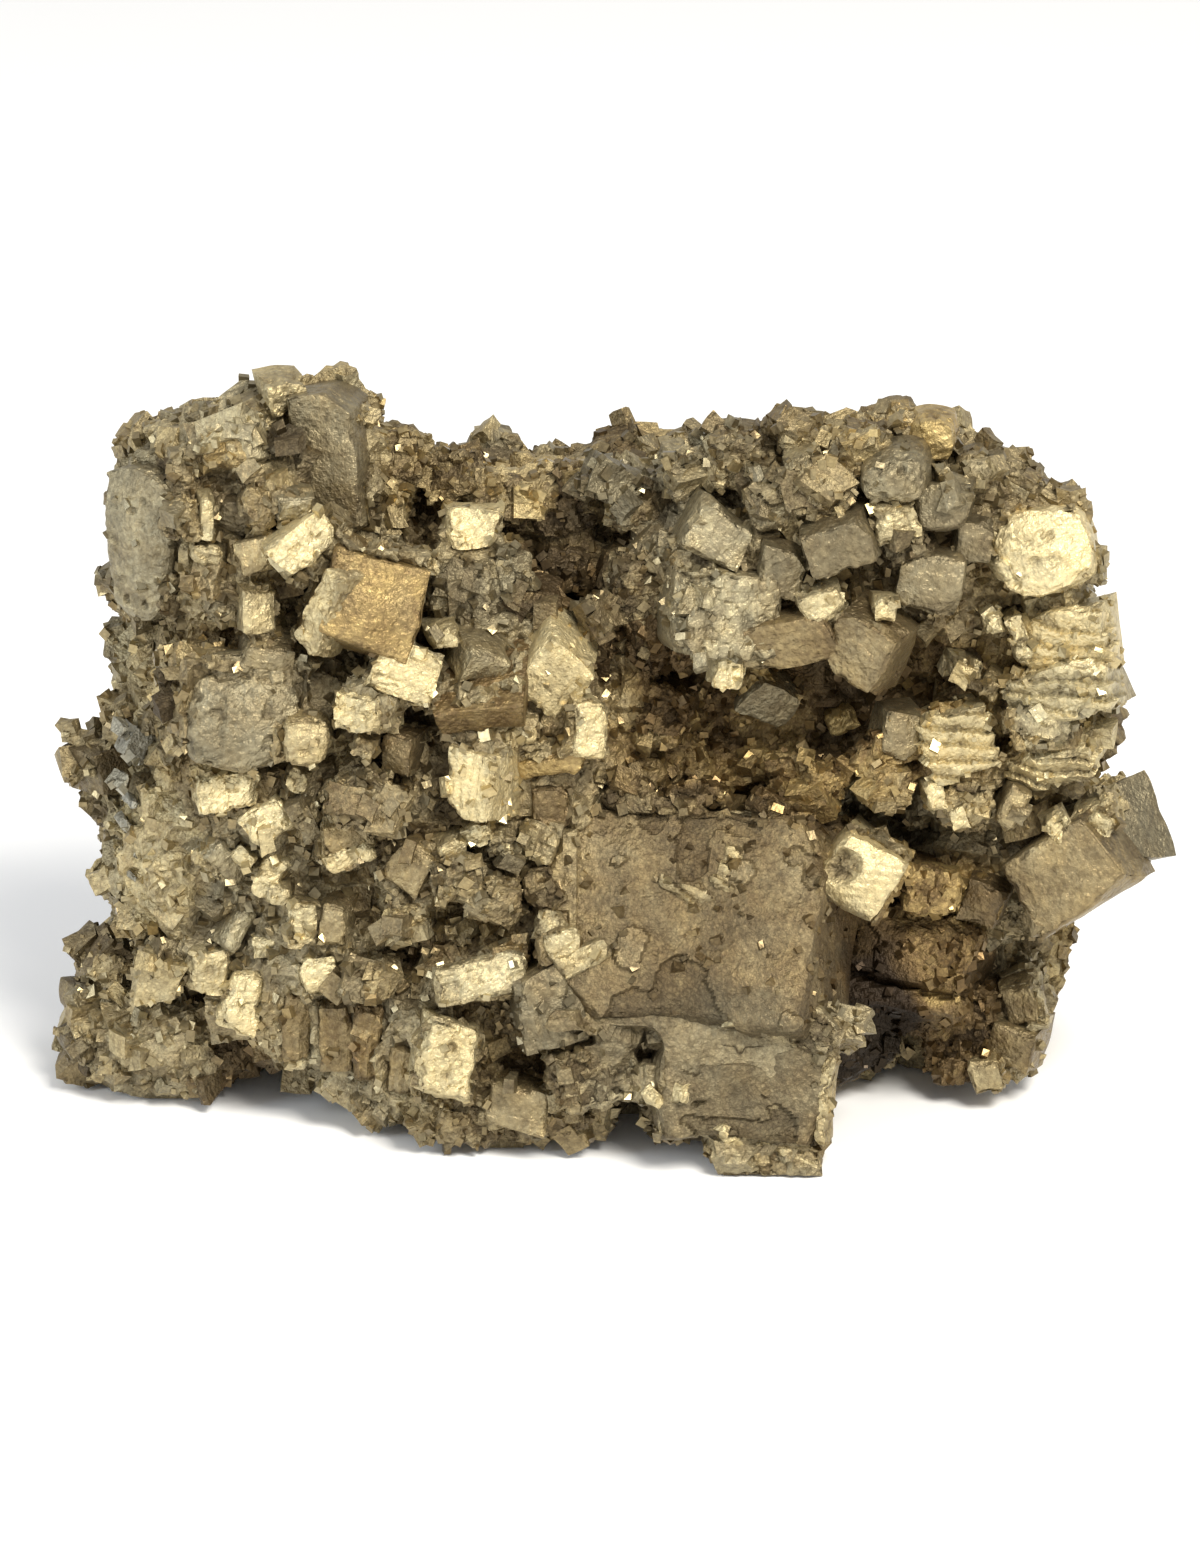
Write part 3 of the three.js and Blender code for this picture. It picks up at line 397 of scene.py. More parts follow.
SADDLE = [
    ("saddle_west", (-22, 69, -2), (7, 9, 6), (8, -26, 12), "granular", 0.22, 0.6),
    ("saddle_slope", (-16, 66.5, -2.5), (6, 9, 6), (-6, -26, -6), "granular", 0.2, 0.65),
    ("saddle_middle", (-10.5, 64, -4), (6.5, 9, 6.5), (6, -20, 8), "granular", 0.18, 0.7),
    ("saddle_block", (-4.5, 64, -3), (7.5, 9, 8), (-8, -12, -4), "granular", 0.18, 0.7),
    ("saddle_low", (-4.5, 56, -6), (5.5, 8, 5), (-12, 0, 8), "granular", 0.16, 0.75),
    ("saddle_east", (4.5, 63.5, -6), (6, 8, 6), (10, -10, 8), "granular", 0.28, 0.4),
    ("saddle_far", (10, 66, -8), (5.5, 7, 5), (4, -6, -10), "granular", 0.3, 0.4),
    ("saddle_foot", (4.5, 54, -10), (7, 9, 8), (14, -6, 6), "granular", 0.28, 0.35),
]

# Blocks that close in on the ramp's west border and crest, so that it runs in under them.
RAMP_EDGE = [
    ("border_crest", (-4.5, 32, -15.5), (6, 7, 4.4), (8, -16, -12), "granular", 0.32, 0.45),
    ("border_high", (-7, 26.5, -18.4), (5, 6, 4.6), (-10, -14, 14), "mosaic", 0.5, 0.3),
    ("border_middle", (-6.2, 21.5, -20.8), (4.6, 6, 5), (12, -18, -20), "granular", 0.34, 0.4),
    ("border_step", (-5.6, 17.4, -22.8), (3.8, 5, 3.4), (-6, -20, 8), "mosaic", 0.62, 0.3),
    ("border_low", (-6, 10.5, -26.4), (5.6, 6, 4.2), (6, -14, -26), "smooth", 0.34, 0.25),
    ("crest_west", (3, 32.4, -14.6), (5.4, 6, 3), (-8, -22, 6), "granular", 0.26, 0.6),
    ("crest_middle", (11, 31.6, -14.8), (6.4, 6, 2.8), (10, -20, -5), "granular", 0.24, 0.7),
    ("crest_east", (18.5, 30.6, -15.6), (5, 6, 3.2), (-6, -24, 10), "granular", 0.26, 0.7),
]

# A zone ends at this many of its half widths from its middle, and is full this much nearer in.
ZONE_EDGE = 1.2
ZONE_FADE = 0.35
# Its border strays by this many half widths, in bumps of this size.
ZONE_STRAY = 0.18
ZONE_BUMP = 3.0

# Places where the granular surface differs: name, (across, rise, depth), (half widths), how bright
# against the rest, warmth, share of small blocks and share of druse. The lower brightness of the cavity,
# its throat, the crevice, the lower recess and the lobe's underside is painted shade, nearly black in
# the recess.
ZONES = [
    ("cavity", (23, 41, -8), (21, 10, 13), 0.85, 0.95, 0.2, 1.0),
    ("cavity_throat", (28.5, 43, -7), (6.5, 5.5, 12), 0.5, 0.8, 0.2, 1.0),
    ("crevice", (-4, 55.5, -6), (4.6, 5.5, 12), 0.55, 0.75, 0.3, 1.0),
    ("saddle", (-12, 67, 0), (15, 9, 14), 1.25, 0.55, 0.2, 1.0),
    ("lower_recess", (31, 1.5, -13), (6.5, 6.5, 15), 0.02, 0.6, 0.1, 0.5),
    ("bench", (33.5, 17, -12), (13, 7.5, 12), 0.95, 1.0, 0.0, 1.0),
    ("bench_end", (40.5, 5, -8), (5.5, 7, 9), 0.6, 0.85, 0.1, 1.0),
    ("lobe_underside", (-39.5, 1.5, -8), (6.5, 4.5, 10), 0.4, 0.6, 0.6, 0.8),
    ("slab", (9, 15, -24), (19, 20, 14), 0.9, 0.5, 0.0, 0.45),
    ("slab_low", (12, 2, -27), (15, 10, 9), 0.9, 0.25, 0.0, 0.4),
    ("west_wall", (-49, 25, -8), (6, 14, 10), 1.5, 0.3, 0.6, 0.8),
]

# The zones where the body breaks in fine-grained plates.
SANDY_ZONES = ("slab", "bench")

# The north-east crystals are drawn this much wider and taller than their rows, to close up.
NORTH_CLOSER = 1.15


def enlarged(rows, factor):
    """The same crystals, wider and taller from their own middles."""
    return [(name, place, (wide * factor, deep, tall * factor), *look)
            for name, place, (wide, deep, tall), *look in rows]


# The show side's pieces, each a group of crystals.
FACES = {
    "west_crystals": CROWN + WEST_SHOULDER + WEST_EDGE + WEST_BROW,
    "south_crystals": SOUTH + SLAB + BENCH,
    "heart_crystals": HEART + SADDLE,
    "east_crystals": EAST_WALL + CAVITY,
    "north_crystals": enlarged(NORTH_EAST, NORTH_CLOSER),
    "border_crystals": RAMP_EDGE,
}


# ---------------------------------------------------------------- placing
def in_metres(points):
    return np.asarray(points, dtype=float) * MM


def on_show_plane(place):
    """A place across, up and behind the leaning show plane, as x, y and z."""
    across, rise, depth = place
    height = (rise - depth * math.sin(SHOW_LEAN)) / math.cos(SHOW_LEAN)
    return np.array([across, depth, height])


def turned(angles):
    """Turn about the upright axis, after the nod, after the roll."""
    turn, nod, roll = (math.radians(a) for a in angles)
    about_z = Euler((0, 0, turn)).to_matrix()
    about_x = Euler((nod, 0, 0)).to_matrix()
    about_y = Euler((0, roll, 0)).to_matrix()
    return np.array(about_z @ about_x @ about_y)


# ---------------------------------------------------------------- seeded noise, in millimetres
# Large primes that mix a cell's three numbers and a seed into one.
HASH_PRIMES = (73856093, 19349663, 83492791, 2654435761)


def scatter_hash(cells, seed):
    """A repeatable number from 0 to 1 for each whole-number cell."""
    cells = cells.astype(np.int64)
    first, second, third, last = HASH_PRIMES
    mixed = cells[..., 0] * first ^ cells[..., 1] * second ^ cells[..., 2] * third ^ seed * last
    mixed = (mixed ^ (mixed >> 13)) * 1274126177
    mixed = (mixed ^ (mixed >> 16)) & 0xFFFFFF
    return mixed / float(0xFFFFFF)


def soft_noise(points, size, seed):
    """Smooth noise from -1 to 1 whose bumps are about `size` across."""
    scaled = points / size
    cell = np.floor(scaled)
    part = scaled - cell
    part = part * part * (3 - 2 * part)
    total = np.zeros(len(points))
    for corner in np.ndindex(2, 2, 2):
        offset = np.array(corner)
        weight = np.prod(np.where(offset == 1, part, 1 - part), axis=1)
        total += weight * scatter_hash(cell + offset, seed)
    return total * 2 - 1


def broken_noise(points, size, seed, octaves=3):
    """Soft noise with finer octaves added."""
    total = np.zeros(len(points))
    for octave in range(octaves):
        total += soft_noise(points, size / 2 ** octave, seed + octave * 17) / 2 ** octave
    return total / (2 - 2 ** (1 - octaves))


def tiles(points, size, seed):
    """Angular tiles: each point's tile number 0 to 1, and its distance from the tile's border."""
    scaled = points / size
    cell = np.floor(scaled)
    nearest = np.full(len(points), 1e9)
    second = np.full(len(points), 1e9)
    value = np.zeros(len(points))
    for step in np.ndindex(3, 3, 3):
        neighbour = cell + np.array(step) - 1
        centre = np.stack([scatter_hash(neighbour, seed + k) for k in range(3)], axis=1)
        away = np.abs(neighbour + 0.15 + 0.7 * centre - scaled)
        distance = away.max(axis=1) * 0.6 + away.sum(axis=1) * 0.4
        closer = distance < nearest
        second = np.where(closer, nearest, np.minimum(second, distance))
        value = np.where(closer, scatter_hash(neighbour, seed + 5), value)
        nearest = np.where(closer, distance, nearest)
    return value, (second - nearest) * size


# ---------------------------------------------------------------- open and shut-in places
def cad_solid():
    """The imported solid's triangles, copied and merged to one closed mesh."""
    work = bmesh.new()
    work.from_mesh(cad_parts[NODE].data)
    bmesh.ops.remove_doubles(work, verts=work.verts, dist=1e-7)
    mesh = bpy.data.meshes.new("solid")
    work.to_mesh(mesh)
    work.free()
    return mesh


def filled_grid(mesh):
    """A coarse grid of the solid, 1 inside and 0 outside, by counting crossings up each column."""
    low, high = (np.array(corner) / MM for corner in cad_box)
    corner = low - GRID_MARGIN
    counts = np.ceil((high - corner + GRID_MARGIN) / GRID_CELL).astype(int)
    points = [tuple(vertex.co / MM) for vertex in mesh.vertices]
    tree = BVHTree.FromPolygons(points, [tuple(face.vertices) for face in mesh.polygons])
    middles = corner[2] + (np.arange(counts[2]) + 0.5) * GRID_CELL
    crossings = np.zeros(counts)
    just_past = 0.001
    for i, j in np.ndindex(counts[0], counts[1]):
        start = Vector((corner[0] + (i + 0.5) * GRID_CELL, corner[1] + (j + 0.5) * GRID_CELL, corner[2]))
        hit = tree.ray_cast(start, Vector((0, 0, 1)))[0]
        while hit is not None:
            crossings[i, j] += middles > hit.z
            start.z = hit.z + just_past
            hit = tree.ray_cast(start, Vector((0, 0, 1)))[0]
    return corner, crossings % 2


def spread_out(grid, reach):
    """The grid averaged over boxes of `reach` cells each way, twice along each axis."""
    width = 2 * reach + 1
    for axis in (0, 0, 1, 1, 2, 2):
        margins = [(0, 0)] * 3
        margins[axis] = (reach + 1, reach)
        total = np.cumsum(np.pad(grid, margins), axis=axis)
        count = grid.shape[axis]
        upper = np.take(total, np.arange(width, count + width), axis=axis)
        grid = (upper - np.take(total, np.arange(count), axis=axis)) / width
    return grid


def read_grid(corner, grid, points):
    """The grid's value at each point, smoothly between its cells."""
    scaled = (points - corner) / GRID_CELL - 0.5
    scaled = np.clip(scaled, 0, np.array(grid.shape) - 1.001)
    cell = scaled.astype(int)
    part = scaled - cell
    total = np.zeros(len(points))
    for step in np.ndindex(2, 2, 2):
        offset = np.array(step)
        weight = np.prod(np.where(offset == 1, part, 1 - part), axis=1)
        total += weight * grid[tuple((cell + offset).T)]
    return total


solid_mesh = cad_solid()
grid_corner, solid_grid = filled_grid(solid_mesh)
near_fill = spread_out(solid_grid, NEAR_CELLS)
wide_fill = spread_out(solid_grid, WIDE_CELLS)


def shut_in(points):
    """How shut in each point is: 0 in the open or on an edge, 1 deep in a crevice or hollow."""
    near = np.clip((read_grid(grid_corner, near_fill, points) - SHUT_FROM) / NEAR_SPAN, 0, 1)
    wide = np.clip((read_grid(grid_corner, wide_fill, points) - SHUT_FROM) / WIDE_SPAN, 0, 1)
    return np.clip(NEAR_WEIGHT * near + WIDE_WEIGHT * wide, 0, 1)


def zone_share(points, place, widths):
    """1 inside a zone, falling to 0 over its ragged border."""
    away = np.linalg.norm((points - on_show_plane(place)) / np.array(widths), axis=1)
    away += ZONE_STRAY * soft_noise(points, ZONE_BUMP, 5)
    return np.clip((ZONE_EDGE - away) / ZONE_FADE, 0, 1)


def zoned(surface):
    """The surface with its tones and growth changed where the zones say, with painted shade where a zone
    darkens a recess.
    """
    for _, place, widths, bright, warm, blocks, druse in ZONES:
        share = zone_share(surface["points"], place, widths)
        tones = surface["tones"]
        # Painted shade where a zone's brightness is below 1.
        tones[:, 0] *= 1 - share * (1 - bright)
        tones[:, 1] += share * (warm - tones[:, 1])
        surface["cover"] = surface["cover"] * (1 - share * (1 - blocks))
        surface["druse"] = surface["druse"] * (1 - share * (1 - druse))
    return surface


# ---------------------------------------------------------------- one crystal
def block_lattice(counts):
    """A block's surface: points from -1 to 1 and faces. Its front (-y) and sides are cut into cells,
    closer together near the front, and its buried back is a fan."""
    wide, deep, tall = counts
    x = np.linspace(-1, 1, wide + 1)
    z = np.linspace(-1, 1, tall + 1)
    grid_x, grid_z = np.meshgrid(x, z, indexing="ij")
    front = np.stack([grid_x.ravel(), np.full(grid_x.size, -1.0), grid_z.ravel()], axis=1)
    index = np.arange(grid_x.size).reshape(wide + 1, tall + 1)
    front_faces = np.stack([index[:-1, :-1], index[1:, :-1], index[1:, 1:], index[:-1, 1:]], axis=-1)
    ring = np.concatenate([index[:-1, 0], index[-1, :-1], index[:0:-1, -1], index[0, :0:-1]])
    levels = -1 + 2 * (np.arange(1, deep + 1) / deep) ** 1.6
    points = [front]
    faces = [front_faces.reshape(-1, 4)]
    start = len(front)
    last = ring
    for level in levels:
        row = front[ring].copy()
        row[:, 1] = level
        points.append(row)
        current = start + np.arange(len(ring))
        faces.append(np.stack([np.roll(last, -1), last, current, np.roll(current, -1)], axis=1))
        last = current
        start += len(ring)
    points.append(np.array([[0.0, 1.0, 0.0]]))
    hub = np.full(len(ring), start)
    fan = np.stack([np.roll(last, -1), last, hub, hub], axis=1)
    return np.concatenate(points), np.concatenate(faces + [fan])


def outward_normals(points, faces):
    """Smooth normals of a mesh of quads, where a triangle repeats its last corner."""
    corners = points[faces]
    across = np.cross(corners[:, 2] - corners[:, 0], corners[:, 3] - corners[:, 1])
    normals = np.zeros_like(points)
    for k in range(4):
        np.add.at(normals, faces[:, k], across)
    return normals / np.maximum(np.linalg.norm(normals, axis=1, keepdims=True), 1e-12)


# habit: (grit, cover of small growth), (swell of the front face, rounding of the outline)
HABITS = {
    "smooth": ((0.12, 0.05), (0.02, 0.03)),
    "mosaic": ((0.25, 0.10), (0.03, 0.05)),
    "granular": ((0.6, 0.8), (0.06, 0.12)),
    "striated": ((0.3, 0.12), (0.02, 0.04)),
    "stepped": ((0.35, 0.12), (0.03, 0.05)),
    "plated": ((0.5, 0.0), (0.03, 0.03)),
    "domed": ((0.2, 0.02), (0.10, 0.18)),
    "shell": ((0.15, 0.0), (0.10, 0.05)),
}

# habit: size and height in millimetres of what its faces carry, and what that is. The terraces'
# size is a part of the crystal's longest side.
FEATURES = {
    "smooth": (0.45, 0.22),     # flat terraces
    "mosaic": (1.5, 0.36),      # tiles with grooves between them, and pits
    "granular": (1.9, 1.0),     # coarse angular grains with finer ones on them
    "striated": (1.1, 0.28),    # upright ridges, broken off here and there
    "stepped": (1.6, 0.8),      # ragged steps
    "plated": (11.0, 0.5),      # broad ragged plates
    "shell": (1.1, 0.22),       # slanting lines round a rubbly pit
    "domed": (1.3, 0.2),        # worn tiles, pits and slanting lines
}


def distorted_block(unit, size, habit, dice, seed):
    """The block's own shape: tapered, skewed, with uneven corners, some of them broken off."""
    swell, rounding = HABITS[habit][1]
    half = size / 2
    front = -unit[:, 1]
    taper = np.where(front > 0, 1 - (1 - FRONT_TAPER) * front, 1.0)
    local = unit * half
    local[:, 0] *= taper * (1 - rounding * unit[:, 2] ** 2)
    local[:, 2] *= taper * (1 - rounding * unit[:, 0] ** 2)
    for step in np.ndindex(2, 2, 2):
        sign = np.array(step) * 2 - 1
        weight = np.prod((1 + unit * sign) / 2, axis=1)
        local += weight[:, None] * dice.uniform(-CORNER_DRIFT, CORNER_DRIFT, 3) * size
    crown = (1 - unit[:, 0] ** 2) * (1 - unit[:, 2] ** 2)
    local[:, 1] -= swell * min(size[0], size[2]) * crown * np.clip(front, 0, 1)
    for _ in range(int(dice.integers(1, 3))):
        towards = np.array([dice.choice((-1, 1)), -dice.uniform(0.2, 1.2), dice.choice((-1, 1))])
        towards = towards * dice.uniform(0.6, 1.4, 3)
        towards /= np.linalg.norm(towards)
        reach = np.abs(half * towards).sum() * dice.uniform(*BROKEN_FROM)
        beyond = np.clip(local @ towards - reach, 0, None)
        local -= beyond[:, None] * towards
    wander = EDGE_WANDER * np.sqrt(size.max()) * (PLATE_WANDER if habit == "plated" else 1.0)
    for axis in range(3):
        local[:, axis] += wander * broken_noise(local, max(2.6, size.max() * 0.4), seed + 41 + axis, 2)
    return local


def habit_relief(local, unit, habit, seed, size):
    """How far each point of the surface stands out or in, in millimetres, for a crystal habit."""
    front = -unit[:, 1]
    grain = FINEST_HEIGHT * broken_noise(local, FINEST_GRAIN, seed, 3)
    feature, height = FEATURES[habit]
    if habit == "smooth":
        terrace = np.floor(2.5 * soft_noise(local, max(size) * feature, seed + 3)) / 2.5
        return height * terrace + 0.8 * grain
    if habit == "mosaic":
        value, border = tiles(local, feature, seed)
        groove = np.clip(1 - border / 0.3, 0, 1)
        pits = np.clip(soft_noise(local, 1.4, seed + 8) - 0.35, 0, 1)
        return height * (value - 0.6) - 0.14 * groove - 0.9 * pits + 1.2 * grain
    if habit == "granular":
        value, _ = tiles(local, feature, seed)
        finer, _ = tiles(local, 0.9, seed + 2)
        return height * (value - 0.6) + 0.35 * (finer - 0.5) + 2.0 * grain
    if habit == "striated":
        along = local[:, 0] + 0.35 * soft_noise(local, 2.5, seed + 9)
        spaced = along / (feature + 0.3 * soft_noise(local, 5.0, seed + 11))
        ridges = np.abs(spaced % 1.0 - 0.5) * 2
        broken = np.clip(0.5 + 0.8 * soft_noise(local, 1.8, seed + 10), 0, 1)
        return height * (ridges - 0.5) * broken + 1.6 * grain
    if habit == "stepped":
        climb = local[:, 2] * 0.85 + local[:, 0] * 0.3 + 0.7 * soft_noise(local, 3.6, seed + 4)
        stair = (climb / feature) % 1.0
        value, _ = tiles(local, 1.2, seed)
        return height * (stair - 0.5) * np.clip(front + 0.4, 0, 1) + 0.25 * (value - 0.5) + 1.2 * grain
    if habit == "plated":
        level = 2.8 * broken_noise(local, feature, seed + 6, 3) + 0.12 * soft_noise(local, 1.2, seed + 7)
        swells = 0.8 * soft_noise(local, 13.0, seed + 13) + 0.35 * broken_noise(local, 3.0, seed + 12, 3)
        return height * np.floor(level) + swells + 1.6 * grain
    lines = np.abs(((local[:, 0] * 0.5 - local[:, 2]) / FEATURES["shell"][0]) % 1.0 - 0.5)
    if habit == "shell":
        away = np.hypot(unit[:, 0] + 0.45, unit[:, 2] - 0.05) + 0.25 * soft_noise(local, 1.5, seed + 5)
        pit = np.clip(1 - away / 0.62, 0, 1) * np.clip(front, 0, 1)
        rubble, _ = tiles(local, 0.9, seed + 6)
        sunk = np.clip(2.2 * pit, 0, 1)
        return height * lines * (1 - sunk) - sunk * (1.5 - 0.7 * rubble) + 1.4 * grain
    value, _ = tiles(local, feature, seed)
    pits = np.clip(soft_noise(local, 1.2, seed + 8) - 0.3, 0, 1)
    return height * (value - 0.5) - 0.9 * pits + 0.16 * lines + 1.3 * grain


def crystal(row, seed, spacing=CRYSTAL_GRAIN):
    """One crystal's surface: points in millimetres, faces, tones, and what may grow on it."""
    _, place, size, angles, habit, bright, warm = row
    grit, cover = HABITS[habit][0]
    size = np.array(size, dtype=float)
    if size.max() > LARGE_CRYSTAL:
        spacing = LARGE_GRAIN
    counts = [max(3, int(round(length / spacing))) for length in size]
    counts[1] = max(4, int(round(size[1] / spacing * DEPTH_ROWS)))
    unit, faces = block_lattice(counts)
    front = -unit[:, 1]
    local = distorted_block(unit, size, habit, np.random.default_rng(seed), seed)

    outward = outward_normals(local, faces)
    edge_gap = np.sort(size / 2 * (1 - np.abs(unit)), axis=1)[:, 1]
    worn = np.clip(1 - edge_gap / WORN_EDGE, 0, 1) ** 1.5
    chips = np.clip(soft_noise(local, 1.4, seed + 21) + 0.15, 0, 1)
    relief = habit_relief(local, unit, habit, seed, size)
    buried = np.clip((0.2 - front) / 0.6, 0, 1)
    relief = (relief - worn * (0.08 + 0.6 * chips)) * (1 - buried)
    local += outward * relief[:, None]
    local[:, 1] += size[1] / 2
    points = local @ turned(angles).T + on_show_plane(place)

    # Painted light and shade: a face's high places are lighter and its low places darker, and its sides are
    # darker than its front, more so where they are shut in.
    shaded = PLATE_SHADE if habit == "plated" else DEPTH_SHADE
    mottle = 0.2 * bright * broken_noise(local, 2.4, seed + 31, 2)
    tone = 0.9 * bright * (1 + shaded * np.clip(relief, -1, 0.5)) + mottle
    tone *= 1 - 0.4 * np.clip(1 - front, 0, 1) * shut_in(points)
    tone *= 1 - 0.22 * np.clip(1 - front, 0, 1)
    roughened = np.clip(grit - 0.5 * relief, 0, 1)
    near_edge = np.clip(1 - edge_gap / 0.9, 0, 1)
    surface = {
        "points": points,
        "faces": faces,
        "tones": np.stack([np.clip(tone, 0, 1), np.full(len(points), warm), roughened], axis=1),
        "turn": np.tile(np.radians([angles[1], angles[2], angles[0]]), (len(points), 1)),
        "cover": np.clip(cover + 0.35 * near_edge * cover ** 0.5, 0, 1) * (front > -0.5),
        "druse": np.clip(1.6 * grit - 0.25, 0, 1) * (front > -0.5),
    }
    return zoned(surface) if habit in ("granular", "plated") else surface


# ---------------------------------------------------------------- the massive body
def remeshed(mesh, voxel):
    """The mesh rebuilt as even quads, as points in millimetres and quads."""
    holder = bpy.data.objects.new("remesh_work", mesh)
    bpy.context.scene.collection.objects.link(holder)
    modifier = holder.modifiers.new("remesh", "REMESH")
    modifier.mode = "VOXEL"
    modifier.voxel_size = voxel * MM
    graph = bpy.context.evaluated_depsgraph_get()
    result = bpy.data.meshes.new_from_object(holder.evaluated_get(graph))
    points = np.zeros(len(result.vertices) * 3)
    result.vertices.foreach_get("co", points)
    quads = np.array([tuple(face.vertices) for face in result.polygons])
    bpy.data.objects.remove(holder)
    bpy.data.meshes.remove(result)
    return points.reshape(-1, 3) / MM, quads


def under_clean_faces(points, rows):
    """Where a point lies under a crystal with clean faces, and where it lies under or close beside one."""
    inside = np.zeros(len(points), dtype=bool)
    beside = np.zeros(len(points), dtype=bool)
    for name, place, size, angles, habit, *_ in rows:
        if habit == "granular":
            continue
        size = np.array(size, dtype=float)
        local = (points - on_show_plane(place)) @ turned(angles)
        local[:, 1] -= size[1] / 2
        gap = np.abs(local) - size / 2
        sideways = gap[:, [0, 2]].max(axis=1)
        inside |= (gap[:, 1] < 0.8) & (sideways < -0.2)
        if name == MERGED_PLATE:
            continue
        behind_face = local[:, 1] + size[1] / 2
        beside |= (behind_face > -BESIDE_FRONT) & (behind_face < BESIDE_DEPTH) & (sideways < BESIDE_REACH)
    return inside.astype(float), (inside | beside).astype(float)


def massive_body(rows):
    """The granular body: the solid remeshed, drawn in a little and broken into blocky grains."""
    points, quads = remeshed(solid_mesh, BODY_VOXEL)
    normals = outward_normals(points, quads)
    shut = shut_in(points + normals)
    covered, hemmed = under_clean_faces(points, rows)
    coarse, _ = tiles(points, COARSE_GRAIN, 11)
    fine, fine_border = tiles(points, FINE_GRAIN, 23)
    relief = COARSE_HEIGHT * (coarse - 0.5) + FINE_HEIGHT * (fine - 0.5)
    relief += 0.5 * broken_noise(points, 2.5, 31, 3)
    relief -= 0.35 * np.clip(1 - fine_border / 0.5, 0, 1)
    sandy = sum(zone_share(points, zone[1], zone[2]) for zone in ZONES if zone[0] in SANDY_ZONES)
    sandy = np.clip(sandy, 0, 1)
    plates = BROAD_HEIGHT * np.floor(2.2 * broken_noise(points, BROAD_PLATE, 53, 4))
    plates += 0.5 * broken_noise(points, 2.2, 59, 2)
    relief += sandy * (plates - relief)
    relief = np.where(covered > 0, -UNDER_CRYSTAL + 0.3 * relief, relief - BODY_INSET)
    base = points[:, 2] < BASE_TOP
    moved = points + np.where(base, 0, relief)[:, None] * normals
    hollows = 0.7 * np.clip(broken_noise(points, 6.0, 47, 3), 0, 1)
    moved[:, 2] = np.where(base, hollows, np.maximum(moved[:, 2], 0))
    bright = BODY_BRIGHT + 0.16 * (coarse - 0.5) + 0.10 * broken_noise(points, 9.0, 37, 2)
    # Shut-in places are warmer: the red-brown oxide in the hollows.
    warm = BODY_WARM + 0.35 * broken_noise(points, 14.0, 43, 2) + 0.5 * shut
    grows = np.where(base, 0, 1) * (1 - covered) * (points[:, 2] > BASE_CLEAR)
    patches = np.floor(points / TURN_PATCH)
    turns = np.stack([(scatter_hash(patches, 60 + k) - 0.5) * 1.4 for k in range(3)], axis=1)
    return zoned({
        "points": moved,
        "faces": quads,
        # Painted shade: shut-in places are drawn darker. They are also grittier and rougher.
        "tones": np.stack([bright * (1 - 0.55 * shut), warm, 0.4 + 0.5 * shut], axis=1).clip(0, 1),
        "turn": turns,
        "cover": grows * (1 - hemmed) * np.clip(0.9 - 0.3 * shut, 0, 1),
        "druse": grows * np.clip(0.45 + 0.8 * shut, 0, 1),
    })


# ---------------------------------------------------------------- plainer crystals over the rest
def back_rows(body):
    """Rows of seeded crystals over the back, sides and top, a gap apart, inside the solid's box."""
    dice = np.random.default_rng(BACK_DICE)
    points = body["points"]
    normals = outward_normals(points, body["faces"])
    low, high = (np.array(corner) / MM for corner in cad_box)
    rows = []
    places = []
    for pick in dice.integers(0, len(points), BACK_TRIES):
        point, normal = points[pick], normals[pick]
        outer = normal[1] > 0.25 or abs(normal[0]) + max(normal[2], 0) > 0.7
        if not outer or point[1] < BACK_STARTS or point[2] < BACK_CLEAR:
            continue
        if any(np.linalg.norm(point - other) < BACK_GAP for other in places):
            continue
        places.append(point)
        size = dice.uniform(*BACK_SIZES) * dice.uniform(0.75, 1.2, 3)
        turn = math.degrees(math.atan2(normal[0], -normal[1])) + dice.uniform(-16, 16)
        nod = -math.degrees(math.asin(np.clip(normal[2], -1, 1))) + dice.uniform(-12, 12)
        inset = size / 2 * 0.8 + 0.8
        face = np.clip(point + normal * dice.uniform(0.6, 1.6), low + inset, high - inset)
        rise = face[2] * math.cos(SHOW_LEAN) + face[1] * math.sin(SHOW_LEAN)
        habit = str(dice.choice(BACK_HABITS))
        angles = (turn, nod, dice.uniform(-45, 45))
        look = (habit, dice.uniform(0.24, 0.62), dice.uniform(0.1, 0.6))
        rows.append((f"back_{len(rows)}", (face[0], rise, face[1]), size, angles, *look))
    return rows


# ---------------------------------------------------------------- meshes
def joined(parts):
    """Many surfaces as one."""
    start = 0
    faces = []
    for part in parts:
        faces.append(part["faces"] + start)
        start += len(part["points"])
    merged = {key: np.concatenate([part[key] for part in parts]) for key in parts[0]}
    merged["faces"] = np.concatenate(faces)
    return merged


def mesh_piece(name, surface, growing=False):
    """A mesh object at the origin with its tones as an attribute, and what grows on it if asked."""
    points = surface["points"].copy()
    points[:, 2] = np.maximum(points[:, 2], 0)
    mesh = bpy.data.meshes.new(name)
    faces = [face[:3] if face[2] == face[3] else face for face in surface["faces"].tolist()]
    mesh.from_pydata(in_metres(points), [], faces)
    tones = np.concatenate([surface["tones"], np.ones((len(points), 1))], axis=1)
    write_attribute(mesh, "tones", "FLOAT_COLOR", "color", tones)
    if growing:
        write_attribute(mesh, "turn", "FLOAT_VECTOR", "vector", surface["turn"])
        write_attribute(mesh, "cover", "FLOAT", "value", surface["cover"])
        write_attribute(mesh, "druse", "FLOAT", "value", surface["druse"])
    mesh.update()
    piece = bpy.data.objects.new(name, mesh)
    bpy.context.scene.collection.objects.link(piece)
    return piece


def write_attribute(mesh, name, kind, field, values):
    """A value for each point of the mesh, under a name that nodes can read."""
    layer = mesh.attributes.new(name, kind, "POINT")
    layer.data.foreach_set(field, np.asarray(values, dtype=np.float32).ravel())


